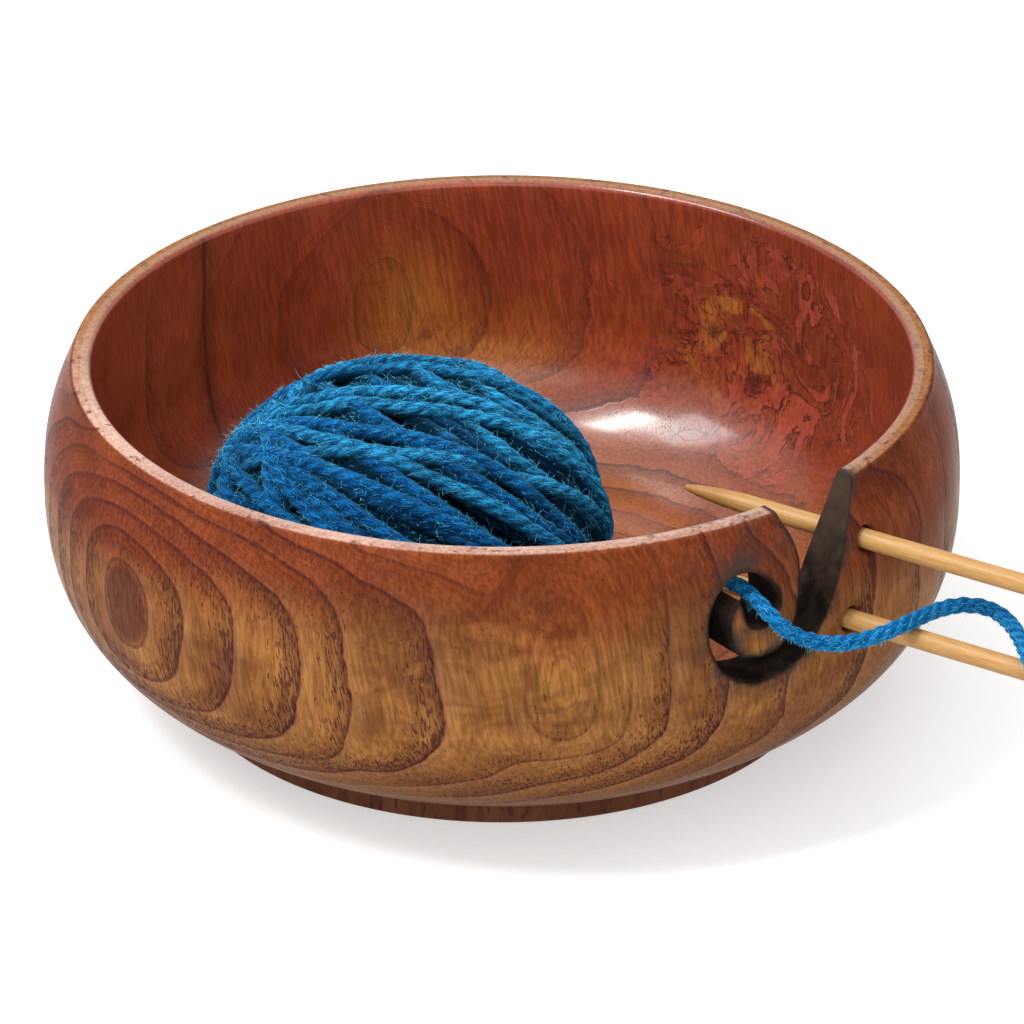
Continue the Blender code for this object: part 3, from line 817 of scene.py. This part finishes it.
# ================================================================ bowl
def bowl_profile():
    """From the axis on the floor, up the inside, over the rim, down the outside, to the axis."""
    corner = (RIM_INNER_R - CORNER_R, FLOOR_Z + FLOOR_RISE + CORNER_H)
    belly = (BELLY_R, BELLY_Z)
    inside_rim = (RIM_INNER_R + RIM_ROUND, BOWL_HEIGHT - RIM_ROUND)
    outside_rim = (RIM_OUTER_R - RIM_ROUND, BOWL_HEIGHT - RIM_ROUND)
    wall_top = (RIM_OUTER_R, BOWL_HEIGHT - RIM_ROUND)
    foot_joint = (FOOT_R + LEDGE, UNDERSIDE)
    parts = [
        [(0.0, FLOOR_Z)],
        line((0.0, FLOOR_Z), (24 * MM, FLOOR_Z + 0.1 * MM), 9),
        line((24 * MM, FLOOR_Z + 0.1 * MM), (corner[0], corner[1] - CORNER_H), 12),
        arc(corner, CORNER_R, CORNER_H, -90, 0, 36)[1:],
        line((RIM_INNER_R, corner[1]), (RIM_INNER_R, BOWL_HEIGHT - RIM_ROUND), 24),
        arc(inside_rim, RIM_ROUND, RIM_ROUND, 180, 90, 5)[1:],
        line((inside_rim[0], BOWL_HEIGHT), (outside_rim[0], BOWL_HEIGHT), 2),
        arc(outside_rim, RIM_ROUND, RIM_ROUND, 90, 0, 5)[1:],
        bezier(wall_top, (RIM_OUTER_R + 5.0 * MM, 56.8 * MM), (BELLY_R, 50.6 * MM), belly, 24),
        bezier(belly, (BELLY_R, 24 * MM), (81.9 * MM, 13.6 * MM), foot_joint, 36),
        line(foot_joint, (0.0, UNDERSIDE), 6),
    ]
    return np.vstack(parts)


PROFILE = bowl_profile()
TOP_ROW = int(np.argmax(PROFILE[:, 1]))
INNER_WALL = PROFILE[:TOP_ROW + 1]
OUTER_WALL = PROFILE[TOP_ROW + 3:-6][::-1]      # without the rim's flat top and the underside


def outer_radius(height):
    return np.interp(height, OUTER_WALL[:, 1], OUTER_WALL[:, 0])


def inner_radius(height):
    return np.interp(height, INNER_WALL[:, 1], INNER_WALL[:, 0])


def lathe_angles():
    """Fine steps where the guide and the needle holes are, coarser ones elsewhere."""
    fine = np.radians(np.arange(-74, -26, 0.42))
    coarse = np.radians(np.arange(-26, 286, 1.15))
    return np.concatenate((fine, coarse))


def guide_outline():
    """The guide's outline as an array of (across, height) points, in metres."""
    curve = bpy.data.curves.new("guide_outline", 'CURVE')
    curve.dimensions = '2D'
    curve.fill_mode = 'NONE'
    outline = list(GUIDE_OUTER_EDGE) + [GUIDE_TONGUE_TIP] + list(GUIDE_INNER_EDGE)
    corners = (0, len(GUIDE_OUTER_EDGE), len(outline) - 1)
    spline = curve.splines.new('BEZIER')
    spline.bezier_points.add(len(outline) - 1)
    spline.use_cyclic_u = True
    spline.resolution_u = 7
    for index, (point, place) in enumerate(zip(spline.bezier_points, outline)):
        handle = 'VECTOR' if index in corners else 'AUTO'
        point.co = (place[0] * MM, place[1] * MM, 0.0)
        point.handle_left_type = handle
        point.handle_right_type = handle
    holder = add_object("guide_outline", curve)
    depsgraph = bpy.context.evaluated_depsgraph_get()
    mesh = bpy.data.meshes.new_from_object(holder.evaluated_get(depsgraph))
    points = np.array([v.co[:2] for v in mesh.vertices])
    bpy.data.objects.remove(holder, do_unlink=True)
    return points


GUIDE_OUT = np.array((math.cos(GUIDE_AZIMUTH), math.sin(GUIDE_AZIMUTH), 0.0))
GUIDE_ACROSS = np.array((-GUIDE_OUT[1], GUIDE_OUT[0], 0.0))
GUIDE = guide_outline()


def outline_normals(outline):
    """Unit normals that point from the opening into the wood."""
    along = unit(np.roll(outline, -1, 0) - np.roll(outline, 1, 0))
    normals = np.stack((along[:, 1], -along[:, 0]), 1)
    x, y = outline[:, 0], outline[:, 1]
    area = (x * np.roll(y, -1) - np.roll(x, -1) * y).sum()
    return normals if area > 0 else -normals


def guide_cutter():
    """The guide's solid, which flares where it leaves the wall, to round the cut's edges."""
    normals = outline_normals(GUIDE)
    tip = np.array(GUIDE_TONGUE_TIP) * MM
    freedom = 0.2 + 0.8 * ease(np.linalg.norm(GUIDE - tip, axis=1), 0.5 * MM, 6 * MM)
    height = np.minimum(GUIDE[:, 1], BOWL_HEIGHT - 2 * MM)
    across2 = GUIDE[:, 0] ** 2
    inner = np.sqrt(inner_radius(height) ** 2 - across2)
    outer = np.sqrt(outer_radius(height) ** 2 - across2)
    rounding = []
    for depth in (0.0, 0.06, 0.16, 0.34, 0.6, 1.0):
        offset = EDGE_ROUND * (1 - math.sqrt(max(0.0, 1 - (1 - depth) ** 2)))
        rounding.append((depth * EDGE_ROUND, offset))
    levels = [(np.full(len(GUIDE), GUIDE_DEPTH[0]), CUT_FLARE), (inner - CUT_CLEAR, CUT_FLARE)]
    levels += [(inner + depth, offset) for depth, offset in rounding]
    levels += [(inner + (outer - inner) * share, 0.0) for share in (0.4, 0.6)]
    levels += [(outer - depth, offset) for depth, offset in rounding[::-1]]
    levels += [(outer + CUT_CLEAR, CUT_FLARE), (np.full(len(GUIDE), GUIDE_DEPTH[1]), CUT_FLARE)]
    rings = []
    for reach, offset in levels:
        flat = GUIDE + normals * (offset * freedom)[:, None]
        rings.append(flat[:, :1] * GUIDE_ACROSS + reach[:, None] * GUIDE_OUT + flat[:, 1:] * UP)
    return loft("guide_cutter", rings)


NEEDLE_ALONG = np.array((math.cos(NEEDLE_AZIMUTH), math.sin(NEEDLE_AZIMUTH), 0.0))
NEEDLE_SIDE = np.array((-NEEDLE_ALONG[1], NEEDLE_ALONG[0], 0.0))


def needle_spokes(count):
    """Angles round a needle, and a unit vector from its axis at each of them."""
    angles = np.linspace(0, 2 * math.pi, count, endpoint=False)
    return angles, np.cos(angles)[:, None] * NEEDLE_SIDE + np.sin(angles)[:, None] * UP


def needle_hole_cutter(which):
    """A needle's hole, with a slightly rounded edge on the outside of the wall."""
    _, spokes = needle_spokes(NEEDLE_HOLE_SIDES)
    wall = np.array(NEEDLES[which]["entry"]) + spokes * NEEDLE_HOLE_D / 2
    reach = np.zeros(len(spokes))
    for _ in range(4):
        here = wall + reach[:, None] * NEEDLE_ALONG
        reach += outer_radius(here[:, 2]) - np.hypot(here[:, 0], here[:, 1])
    rings = [wall - NEEDLE_HOLE_REACH * NEEDLE_ALONG]
    for depth, offset in HOLE_EDGE:
        rings.append(wall + (reach + depth * MM)[:, None] * NEEDLE_ALONG + spokes * offset * MM)
    return loft("needle_hole_cutter_" + which, rings)


def ring_count(distance, radii):
    """Which growth ring a distance from the figure's heart falls in."""
    knots = np.append(0.0, np.array(radii) * MM)
    count = np.interp(distance, knots, np.arange(len(knots)))
    last_step = knots[-1] - knots[-2]
    return count + np.maximum(distance - knots[-1], 0.0) / last_step


def figure(places, heart, right, left, up, down, power=2.2):
    """Growth rings about a heart on the wall, with their radii in mm in four directions."""
    heart = np.array(heart) * MM
    out = unit(heart[:2])
    offset = places - heart
    side = offset[:, 0] * -out[1] + offset[:, 1] * out[0]
    across = np.hypot(offset[:, 0], offset[:, 1])
    to_right = 0.5 + 0.5 * np.clip(1.6 * side / (across + 0.1 * MM), -1, 1)
    sideways = to_right * ring_count(across, right) + (1 - to_right) * ring_count(across, left)
    rise = offset[:, 2]
    vertical = np.where(rise > 0, ring_count(np.abs(rise), up), ring_count(np.abs(rise), down))
    return (sideways ** power + vertical ** power) ** (1 / power)


def merged(fields, softness=0.3):
    """Smooth minimum, so that rings run round both hearts where two figures meet."""
    total = sum(np.exp(-field / softness) for field in fields)
    return -softness * np.log(total)


# Growth-ring figures: the heart's place, then the rings' radii to the right, to the left, up and
# down, all in mm.
LEFT_EYE = ((-70.0, -55.0, 42.0), (7.5, 16.5, 29, 43, 51, 67.5, 82), (7, 15, 23, 31, 40, 50),
            (9, 14.5, 18, 22, 24, 30), (8.5, 15, 19, 21, 24.5, 27.5))
FRONT_EYE = ((11.4, -88.3, 43.0), (7.5, 13.2, 20.5, 31, 39, 46, 53, 60, 68, 76, 86),
             (7.5, 13.5, 22, 34), (20, 31, 40), (11.5, 15.6, 21, 26, 30))
BACK_EYE = ((46.0, 76.0, 36.0), (9, 20, 33, 47, 60, 75), (9, 19, 30, 44, 58, 72), (12, 19, 25),
            (9, 15, 21, 26))
INNER_EYE = ((-24.5, 75.3, 41.0), (7, 24, 45, 63, 82, 100, 118, 135),
             (7, 24, 45, 63, 82, 100, 118, 135), (12, 27, 45), (11, 17, 21, 27, 34))
FLOOR_EYE = ((8.0, 10.0, 10.0), (17, 29, 38, 45, 51, 56, 66, 78), (17, 29, 38, 45, 51, 56, 66, 78),
             (9, 14, 18, 22), (9, 14))
# The rings' count at the hearts of these eyes, so that they meet the others' rings.
FRONT_START, BACK_START, FLOOR_START = 5.06, 3.2, -1


def growth_rings(places, inside):
    """Which growth ring each place is in, with a fraction."""
    left, front, back, inner, floor = (figure(places, *eye) for eye in (
        LEFT_EYE, FRONT_EYE, BACK_EYE, INNER_EYE, FLOOR_EYE))
    outer = merged((left, FRONT_START + front, BACK_START + back))
    return outer * (1 - inside) + merged((inner, FLOOR_START + floor)) * inside


def ring_width(places, inside):
    """The width in mm of the ring at each place, measured along the surface."""
    step = 0.5 * MM
    radius = np.hypot(places[:, 0], places[:, 1]) + 0.1 * MM
    sideways = np.stack((-places[:, 1], places[:, 0], np.zeros(len(places))), 1) / radius[:, None]
    outwards = np.stack((places[:, 0], places[:, 1], np.zeros(len(places))), 1) / radius[:, None]
    steep = ease(places[:, 2], FLOOR_Z, FLOOR_Z + 16 * MM)[:, None]
    upwards = unit(UP * steep + outwards * (1 - steep))
    slopes = []
    for direction in (sideways, upwards):
        ahead = growth_rings(places + direction * step, inside)
        behind = growth_rings(places - direction * step, inside)
        slopes.append((ahead - behind) / (2 * step / MM))
    return 1 / np.maximum(np.hypot(*slopes), 0.02)


def outline_distance(points):
    """Distance of flat points from the guide's outline."""
    edges = np.roll(GUIDE, -1, 0) - GUIDE
    nearest = np.full(len(points), 1.0)
    for start, edge, length2 in zip(GUIDE, edges, (edges ** 2).sum(1)):
        t = np.clip(((points - start) @ edge) / max(length2, 1e-12), 0, 1)
        gap = points - start - t[:, None] * edge
        nearest = np.minimum(nearest, np.hypot(gap[:, 0], gap[:, 1]))
    return nearest


def near_place(places, centre, spread):
    """1 at a place in mm, falling off over a spread in mm along each axis."""
    offset = (places - np.array(centre) * MM) / (np.array(spread) * MM)
    return np.exp(-0.5 * (offset ** 2).sum(1))


# Soft spots in the wood, each as a place and a spread in mm: calm figure round the front eye and
# above it, quilted figure beside it, the burl and the golden ember in it, the golden glow on the
# inside, and a smudge of soot beside the guide's mouth.
CALM_EYE, CALM_ABOVE = ((12.5, -88.3, 44.0), (10, 22, 13)), ((13.0, -85.0, 63.0), (14, 22, 9))
QUILT_SPOT = ((-2.0, -87.0, 42.0), (20, 30, 15))
EMBER_SPOT = ((46.0, 60.0, 41.0), (9, 9, 9))
BURL_SPOT = ((59.0, 51.0, 41.0), (20, 20, 14))
GLOW_HIGH, GLOW_LOW = ((-20.5, 76.3, 39.0), (7.0, 7.0, 11.0)), ((-4.0, 78.5, 31.0), (12.0, 9.0, 7.0))
SMUDGE_SPOT = ((42.0, -72.0, 64.0), (7, 7, 3.5))
# A dark line in the wood runs straight down the inside, in this direction from the axis.
SEAM_AZIMUTH = math.radians(139.6)
SEAM_OUT = np.array((math.cos(SEAM_AZIMUTH), math.sin(SEAM_AZIMUTH), 0.0))
FAR_OFF = 50.0              # mm, for places on the other side from the seam


def guide_gap(places):
    """Distance from the guide's outline, for the places near it."""
    flat = np.stack((places @ GUIDE_ACROSS, places[:, 2]), 1)
    near = (places @ GUIDE_OUT > 55 * MM) & (np.abs(flat[:, 0]) < 36 * MM) & (flat[:, 1] > 24 * MM)
    gap = np.full(len(places), 1.0)
    gap[near] = outline_distance(flat[near])
    return gap


def paint_bowl(bowl):
    """Sets the attributes that the wood's shader reads, and says which vertices are waxed."""
    places = vertex_places(bowl)
    x, y, height = places.T
    middle = (outer_radius(height) + inner_radius(height)) / 2
    inside = ease(middle - np.hypot(x, y), -0.6 * MM, 0.6 * MM)
    inside = np.where(height < (FLOOR_Z + UNDERSIDE) / 2, 0.0, inside)
    calm = near_place(places, *CALM_EYE) + near_place(places, *CALM_ABOVE)
    # Towards the sides and back, as seen from the front, where painted shade goes.
    side = ease(np.abs(x) + np.maximum(y, 0), 45 * MM, 86 * MM)
    # Painted shade on the right of the inside.
    inside_darkening = ease(x, 0.0, 70 * MM) * ease(height, 10 * MM, 30 * MM)
    glow = near_place(places, *GLOW_HIGH) + 0.8 * near_place(places, *GLOW_LOW)
    seam = places @ np.cross(UP, SEAM_OUT) / MM
    gap = guide_gap(places)
    fields = {
        "inside": inside,
        "growth": growth_rings(places, inside),
        "ring_width": ring_width(places, inside),
        "height": height / BOWL_HEIGHT,
        "rim": ease(height, BOWL_HEIGHT - 0.25 * MM, BOWL_HEIGHT - 0.02 * MM),
        # Painted reflection on the rim's top, strongest at the front.
        "rim_front_reflection": ease(-y - 0.35 * x, 5 * MM, 60 * MM),
        "calm": np.clip(calm, 0, 1) * (1 - inside),
        # Redder towards the rim, and painted shade towards the sides and back.
        "red_and_side_shade": ease(height, 36 * MM, 66 * MM) * (0.95 + 0.3 * side) + 0.3 * side,
        "quilt": near_place(places, *QUILT_SPOT),
        # Painted shade on the right, and darker low down.
        "inside_darkening": inside_darkening + 0.75 * ease(26 * MM - height, 0.0, 12 * MM),
        "ember": near_place(places, *EMBER_SPOT),
        "amber": np.clip(glow + 0.62 * ease(28 * MM - height, 0.0, 16 * MM), 0, 1),
        "burl": near_place(places, *BURL_SPOT) * inside,
        "seam": np.where(places @ SEAM_OUT > 0, seam, FAR_OFF),
        "char": 1 - ease(gap, 0.5 * MM, 1.15 * MM),
        "stain": (np.exp(-np.maximum(gap - 0.8 * MM, 0) / (1.8 * MM))
                  + 0.55 * near_place(places, *SMUDGE_SPOT)),
    }
    for name, values in fields.items():
        set_float(bowl, name, values)
    return (inside > 0.5) & (fields["char"] < 0.5)


def build_bowl(outside_material, inside_material):
    verts, faces = lathe(PROFILE, lathe_angles())
    bowl = add_mesh("bowl_turned", verts, faces, outside_material)
    cutters = [guide_cutter()] + [needle_hole_cutter(which) for which in NEEDLES]
    for cutter in cutters:
        cutter.data.materials.append(outside_material)
        boolean = bowl.modifiers.new(cutter.name, 'BOOLEAN')
        boolean.operation = 'DIFFERENCE'
        boolean.solver = 'EXACT'
        boolean.object = cutter
    depsgraph = bpy.context.evaluated_depsgraph_get()
    mesh = bpy.data.meshes.new_from_object(bowl.evaluated_get(depsgraph))
    bowl.modifiers.clear()
    bowl.data = mesh
    for cutter in cutters:
        bpy.data.objects.remove(cutter, do_unlink=True)
    mesh.shade_smooth()
    mesh.set_sharp_from_angle(angle=math.radians(38))
    waxed = paint_bowl(bowl)
    mesh.materials.clear()
    mesh.materials.append(outside_material)
    mesh.materials.append(inside_material)
    for face in mesh.polygons:
        face.material_index = int(waxed[list(face.vertices)].all())
    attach(bowl, "bowl")
    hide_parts("bowl_body")


def build_foot(material):
    top = FOOT_HIGH.z
    upper_r, lower_r = 0.4 * MM, 0.9 * MM
    profile = np.vstack((
        [(0.0, top)],
        line((0.0, top), (FOOT_R - upper_r, top), 3),
        arc((FOOT_R - upper_r, top - upper_r), upper_r, upper_r, 90, 0, 3)[1:],
        line((FOOT_R, top - upper_r), (FOOT_R, lower_r), 3),
        arc((FOOT_R - lower_r, lower_r), lower_r, lower_r, 0, -90, 5)[1:],
        line((FOOT_R - lower_r, 0.0), (0.0, 0.0), 3),
    ))
    verts, faces = lathe(profile, np.linspace(0, 2 * math.pi, 256, endpoint=False))
    foot = add_mesh("foot_turned", verts, faces, material)
    foot.data.set_sharp_from_angle(angle=math.radians(50))
    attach(foot, "bowl")
    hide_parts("foot")


# ================================================================ needles
def needle_taper():
    """Distances from the point, and the needle's radius there: a rounded tip, then a long taper."""
    radius, tip = NEEDLE_D / 2, NEEDLE_TIP_D / 2
    at = np.array((0.0, 0.06, 0.22, 0.45, 0.8, 1.6, 3.25, 5.5, 7.8, 10.5, 13.0)) * MM
    radii = np.interp(at, np.array((0.0, 0.22, 0.45, 0.8, 3.25, 7.8, 13.0)) * MM,
                      (0.12 * tip, 0.72 * tip, 0.93 * tip, 1.05 * tip, 0.60 * radius,
                       0.86 * radius, radius))
    return at, radii


def build_needle(which, material):
    start = np.array(NEEDLES[which]["entry"]) - NEEDLE_ALONG * NEEDLES[which]["inside"]
    taper_at, taper_r = needle_taper()
    shank = np.linspace(NEEDLE_POINT, NEEDLE_LENGTH - NEEDLE_POINT, 60)[1:-1]
    at = np.concatenate((taper_at, shank, NEEDLE_LENGTH - taper_at[::-1]))
    radii = np.concatenate((taper_r, np.full(len(shank), NEEDLE_D / 2), taper_r[::-1]))
    angles, spokes = needle_spokes(NEEDLE_SIDES)
    rings = start + at[:, None, None] * NEEDLE_ALONG + radii[:, None, None] * spokes[None]
    index = np.arange(rings.size // 3).reshape(len(at), NEEDLE_SIDES)
    name = "needle_" + which + "_bamboo"
    needle = add_mesh(name, rings.reshape(-1, 3), tube_faces(index), material)
    lengthwise = at / MM * BAMBOO_ALONG + (0.0 if which == "upper" else 17.0)
    fibre = np.empty(rings.shape)
    fibre[..., 0] = np.cos(angles) * BAMBOO_ROUND
    fibre[..., 1] = np.sin(angles) * BAMBOO_ROUND
    fibre[..., 2] = lengthwise[:, None]
    set_vector(needle, "fibre", fibre)
    # Where the painted shade and reflection go, near each end.
    point = 1 - ease(np.minimum(at, NEEDLE_LENGTH - at), 8 * MM, NEEDLE_POINT)
    set_float(needle, "point", np.repeat(point, NEEDLE_SIDES))
    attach(needle, which + "_needle")
    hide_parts("needle_" + which)


# ================================================================ ball of yarn
STRAND_R = 1.7 * MM
STRAND_TURN = -9.6 * MM     # negative is to the left
STRAND_SWELL = 0.16
PACKED = 2.6 * MM           # distance between the centres of two strands that press together
SHADE_REACH = 4.4 * MM      # a higher winding nearer than this shades the one below it
LIT_CROWN = np.array((0.45, 0.30, 0.84))     # the ball is painted lightest here, as painted light from above
FACE = np.array((0.0, -math.cos(CAMERA_ELEVATION), math.sin(CAMERA_ELEVATION)))

# Two fans of windings cross at the ball's upper left, seen from the front. Each has headings in
# degrees from the ball's face (first, last) and a number of windings. A band lies below them.
FAN_POLE = unit(np.array((-0.80, 0.04, 0.60)))
SIDE_POLE = unit(np.array((-0.66, -0.34, 0.66)))
SIDE_FAN = (-52, 30, 4)
WIDE_FAN = (-80, 76, 14)
BAND_POLE = unit(np.array((0.62, 0.53, 0.57)))
BAND_SPACING = 2.8 * MM
BAND_LATITUDES = (-1.42, 1.51)          # in radians, from one pole of the band to the other
BAND_WOBBLE, FAN_WOBBLE = 0.010, 0.020

# Fuzz: short and long fibres, each a tube with these radii at its root, middle and end.
SHORT_FUZZ, LONG_FUZZ = 1.3 * MM, 2.2 * MM
BALL_FUZZ_COUNT, YARN_FUZZ_COUNT = 12000, 5000
FUZZ_SPREAD = 1.4                       # radians to each side of the strand's outer line
FUZZ_RADII = (0.028 * MM, 0.024 * MM, 0.010 * MM)
FUZZ_CORNERS = (0.0, 2.094, 4.189)      # radians round the tube
FLOOR_CLEAR = 0.05 * MM                 # no fibre reaches lower than this


def loop_on_core(normal, offset, core, wobble):
    """A closed winding: where a plane cuts the core, with a slow wobble."""
    normal = unit(np.array(normal, dtype=float))
    side = unit(np.cross(normal, (0.31, 0.17, 0.93)))
    other = np.cross(normal, side)
    length = 2 * math.pi * core.mean() * math.sqrt(1 - offset * offset)
    t = np.linspace(0, 2 * math.pi, max(40, round(length / (1.12 * MM))), endpoint=False)
    phases = random.random(3) * 6.28        # about one whole turn
    sway = offset + wobble * (np.sin(t + phases[0]) + 0.6 * np.sin(2 * t + phases[1])
                              + 0.35 * np.sin(5 * t + phases[2]))
    sway = np.clip(sway, -0.97, 0.97)[:, None]
    reach = np.sqrt(1 - sway ** 2)
    sphere = normal * sway + reach * (np.cos(t)[:, None] * side + np.sin(t)[:, None] * other)
    points = sphere * core
    normals = unit(sphere / core)
    return points, normals


def blurred(values, steps):
    """Running mean round a closed loop, twice."""
    for _ in range(2):
        total = sum(np.roll(values, k) for k in range(-steps, steps + 1))
        values = total / (2 * steps + 1)
    return values


def wind(loops, core):
    """Lays each loop over the ones before it, as a hand winds a ball."""
    under = np.empty((0, 3))
    tops = np.empty(0)
    laid = []
    for normal, offset, wobble in loops:
        points, normals = loop_on_core(normal, offset, core, wobble)
        lift = np.zeros(len(points))
        for start in range(0, len(points), 50):
            part = slice(start, start + 50)
            gap2 = ((points[part, None] - under[None]) ** 2).sum(2)
            reach = np.where(gap2 < PACKED ** 2,
                             tops + 0.86 * np.sqrt(np.maximum(PACKED ** 2 - gap2, 0)), 0.0)
            if len(under):
                lift[part] = reach.max(1)
        lift = np.maximum(lift, blurred(lift, 3))
        lift = blurred(lift, 2)
        laid.append((points, normals, lift))
        under = np.vstack((under, points[::2]))
        tops = np.append(tops, lift[::2])
    return laid


def sunk_below(laid):
    """For each point of each winding, how deep it lies below the windings near it, for painted shade."""
    places = np.vstack([points for points, _, _ in laid])
    lifts = np.concatenate([lift for _, _, lift in laid])
    places, lifts = places[::2], lifts[::2]
    depths = []
    for points, _, lift in laid:
        gap2 = ((points[:, None] - places[None]) ** 2).sum(2)
        around = np.where(gap2 < SHADE_REACH ** 2, lifts, 0.0).max(1)
        depths.append(blurred(np.maximum(around - lift, 0.0), 1))
    return depths


def pressed(lift):
    """Where windings pile up they press into each other, so that the ball keeps its size."""
    most = WINDING_DEPTH - STRAND_R + 0.7 * MM
    return most * (1 - np.exp(-lift * 1.1 / most))


def fan_loops(pole, layout, slip):
    """Windings that all pass close to a pole."""
    ahead = unit(FACE - pole * (FACE @ pole))
    across = np.cross(pole, ahead)
    loops = []
    for k, angle in enumerate(np.radians(np.linspace(*layout))):
        angle += random.normal() * 0.035
        heading = np.cos(angle) * ahead + np.sin(angle) * across
        normal = np.cross(pole, heading) + random.normal(size=3) * 0.05
        offset = slip * (1 if k % 2 else -1) + random.normal() * 0.5 * slip
        loops.append((normal, offset, FAN_WOBBLE))
    return loops


def ball_loops():
    """Windings from the inside out: a band side by side, and two fans on top."""
    step = BAND_SPACING / float(BALL_RADII.mean() - WINDING_DEPTH)
    band = []
    for latitude in np.arange(*BAND_LATITUDES, step):
        normal = BAND_POLE + random.normal(size=3) * 0.035
        band.append((normal, math.sin(latitude) + random.normal() * 0.010, BAND_WOBBLE))
    return band, fan_loops(SIDE_POLE, SIDE_FAN, 0.05) + fan_loops(FAN_POLE, WIDE_FAN, 0.10)


def build_heart(core, material):
    """The body that fills the ball under its seen windings, painted dark as painted shade."""
    profile = arc((0, 0), core[0] - 0.6 * MM, core[2] - 0.6 * MM, 90, -90, 40)
    verts, faces = lathe(profile, np.linspace(0, 2 * math.pi, 72, endpoint=False))
    verts = verts + BALL_CENTRE
    heart = add_mesh("yarn_ball_heart", verts, faces, material)
    # Full painted shade.
    set_wool(heart, verts / MM * 0.4, 0.0, 1.0, 1.0)
    return heart


def build_ball(under_material, top_material, fuzz_material):
    core = BALL_RADII - WINDING_DEPTH
    band, fan = ball_loops()
    laid = [(points, normals, pressed(lift)) for points, normals, lift in wind(band + fan, core)]
    lines = [(BALL_CENTRE + points + normals * lift[:, None], normals)
             for points, normals, lift in laid]
    windings = list(zip(lines, sunk_below(laid)))
    section = soft_section(STRAND_R, 12, 0.06)
    pieces = []
    for name, part, tones in (("yarn_ball_band", windings[:len(band)], (0.2, 0.6)),
                              ("yarn_ball_fan", windings[len(band):], (0.3, 0.8))):
        strands = Strands()
        for (centres, normals), sunk in part:
            # Tone: random, lower for the band lying below as painted shade, and higher towards the lit
            # top as painted light.
            tone_and_light = random.uniform(*tones) + 0.55 * normals @ LIT_CROWN - 0.12
            strands.add(centres, normals, section, STRAND_TURN, True, tone_and_light, STRAND_SWELL, sunk)
        pieces.append(strands.build(name, top_material))
    pieces.append(build_heart(core, under_material))
    for name, length in (("yarn_ball_fuzz_short", SHORT_FUZZ), ("yarn_ball_fuzz_long", LONG_FUZZ)):
        pieces.append(build_fuzz(name, lines, fuzz_material, BALL_FUZZ_COUNT, length, STRAND_R))
    for piece in pieces:
        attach(piece, "ball")
    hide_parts("yarn_ball")


def build_fuzz(name, lines, material, count, longest, strand_r):
    """Short curved fibres that stand off the strands, each a tapering three-sided tube."""
    points = np.vstack([centres for centres, _ in lines])
    normals = np.vstack([normals for _, normals in lines])
    ahead = np.vstack([np.gradient(centres, axis=0) for centres, _ in lines])
    pick = random.integers(0, len(points), count)
    normal = normals[pick]
    along = unit(ahead[pick])
    across = np.cross(along, normal)
    spread = random.uniform(-FUZZ_SPREAD, FUZZ_SPREAD, (count, 1))
    out = normal * np.cos(spread) + across * np.sin(spread)
    root = points[pick] + out * strand_r * 0.9
    lean = unit(out * random.uniform(0.02, 0.45, (count, 1)) + along * random.normal(size=(count, 1))
                + across * random.normal(size=(count, 1)) * 0.5)
    bend = unit(random.normal(size=(count, 3)))
    length = random.uniform(0.3, 1.0, (count, 1)) * longest
    side = unit(np.cross(lean, (0.3, 0.5, 0.8)))
    other = np.cross(lean, side)
    corners = []
    for t, radius in zip((0.0, 0.5, 1.0), FUZZ_RADII):
        centre = root + lean * t * length + bend * (t * t) * length * 0.5
        for turn in FUZZ_CORNERS:
            corners.append(centre + (side * math.cos(turn) + other * math.sin(turn)) * radius)
    verts = np.stack(corners, 1).reshape(-1, 3)
    verts[:, 2] = np.maximum(verts[:, 2], FLOOR_CLEAR)
    index = np.arange(verts.size // 3).reshape(count, 3, 3)
    low, high = index[:, :-1], index[:, 1:]
    quads = np.stack((low, np.roll(low, -1, 2), np.roll(high, -1, 2), high), 3)
    faces = quads.reshape(-1, 4).tolist() + index[:, 0, ::-1].tolist() + index[:, 2].tolist()
    fuzz = add_mesh(name, verts, faces, material)
    # The fuzz takes the full painted light, as painted sheen on its stray fibres.
    set_wool(fuzz, verts / MM * 0.3, 1.0, 1.0, 0.0)
    return fuzz


# ================================================================ the scene
def main():
    make_camera()
    make_floor()
    make_lights()
    wool = yarn_wool("loose_wool", *LOOSE_WOOL, 0.2)
    fuzz = yarn_wool("wool_fuzz", *WOOL_FUZZ, 0.3)
    build_working_yarn(wool, fuzz)
    build_bowl(bowl_wood("bowl_wood_outside", 1.055, 0.0), bowl_wood("bowl_wood_inside", 1.36, 0.45))
    build_foot(foot_wood())
    cane = bamboo()
    for which in NEEDLES:
        build_needle(which, cane)
    top = yarn_wool("ball_wool", *BALL_WOOL, 0.2)
    under = yarn_wool("ball_wool_heart_shade", *HEART_SHADE_WOOL, 0.0)
    build_ball(under, top, fuzz)


main()
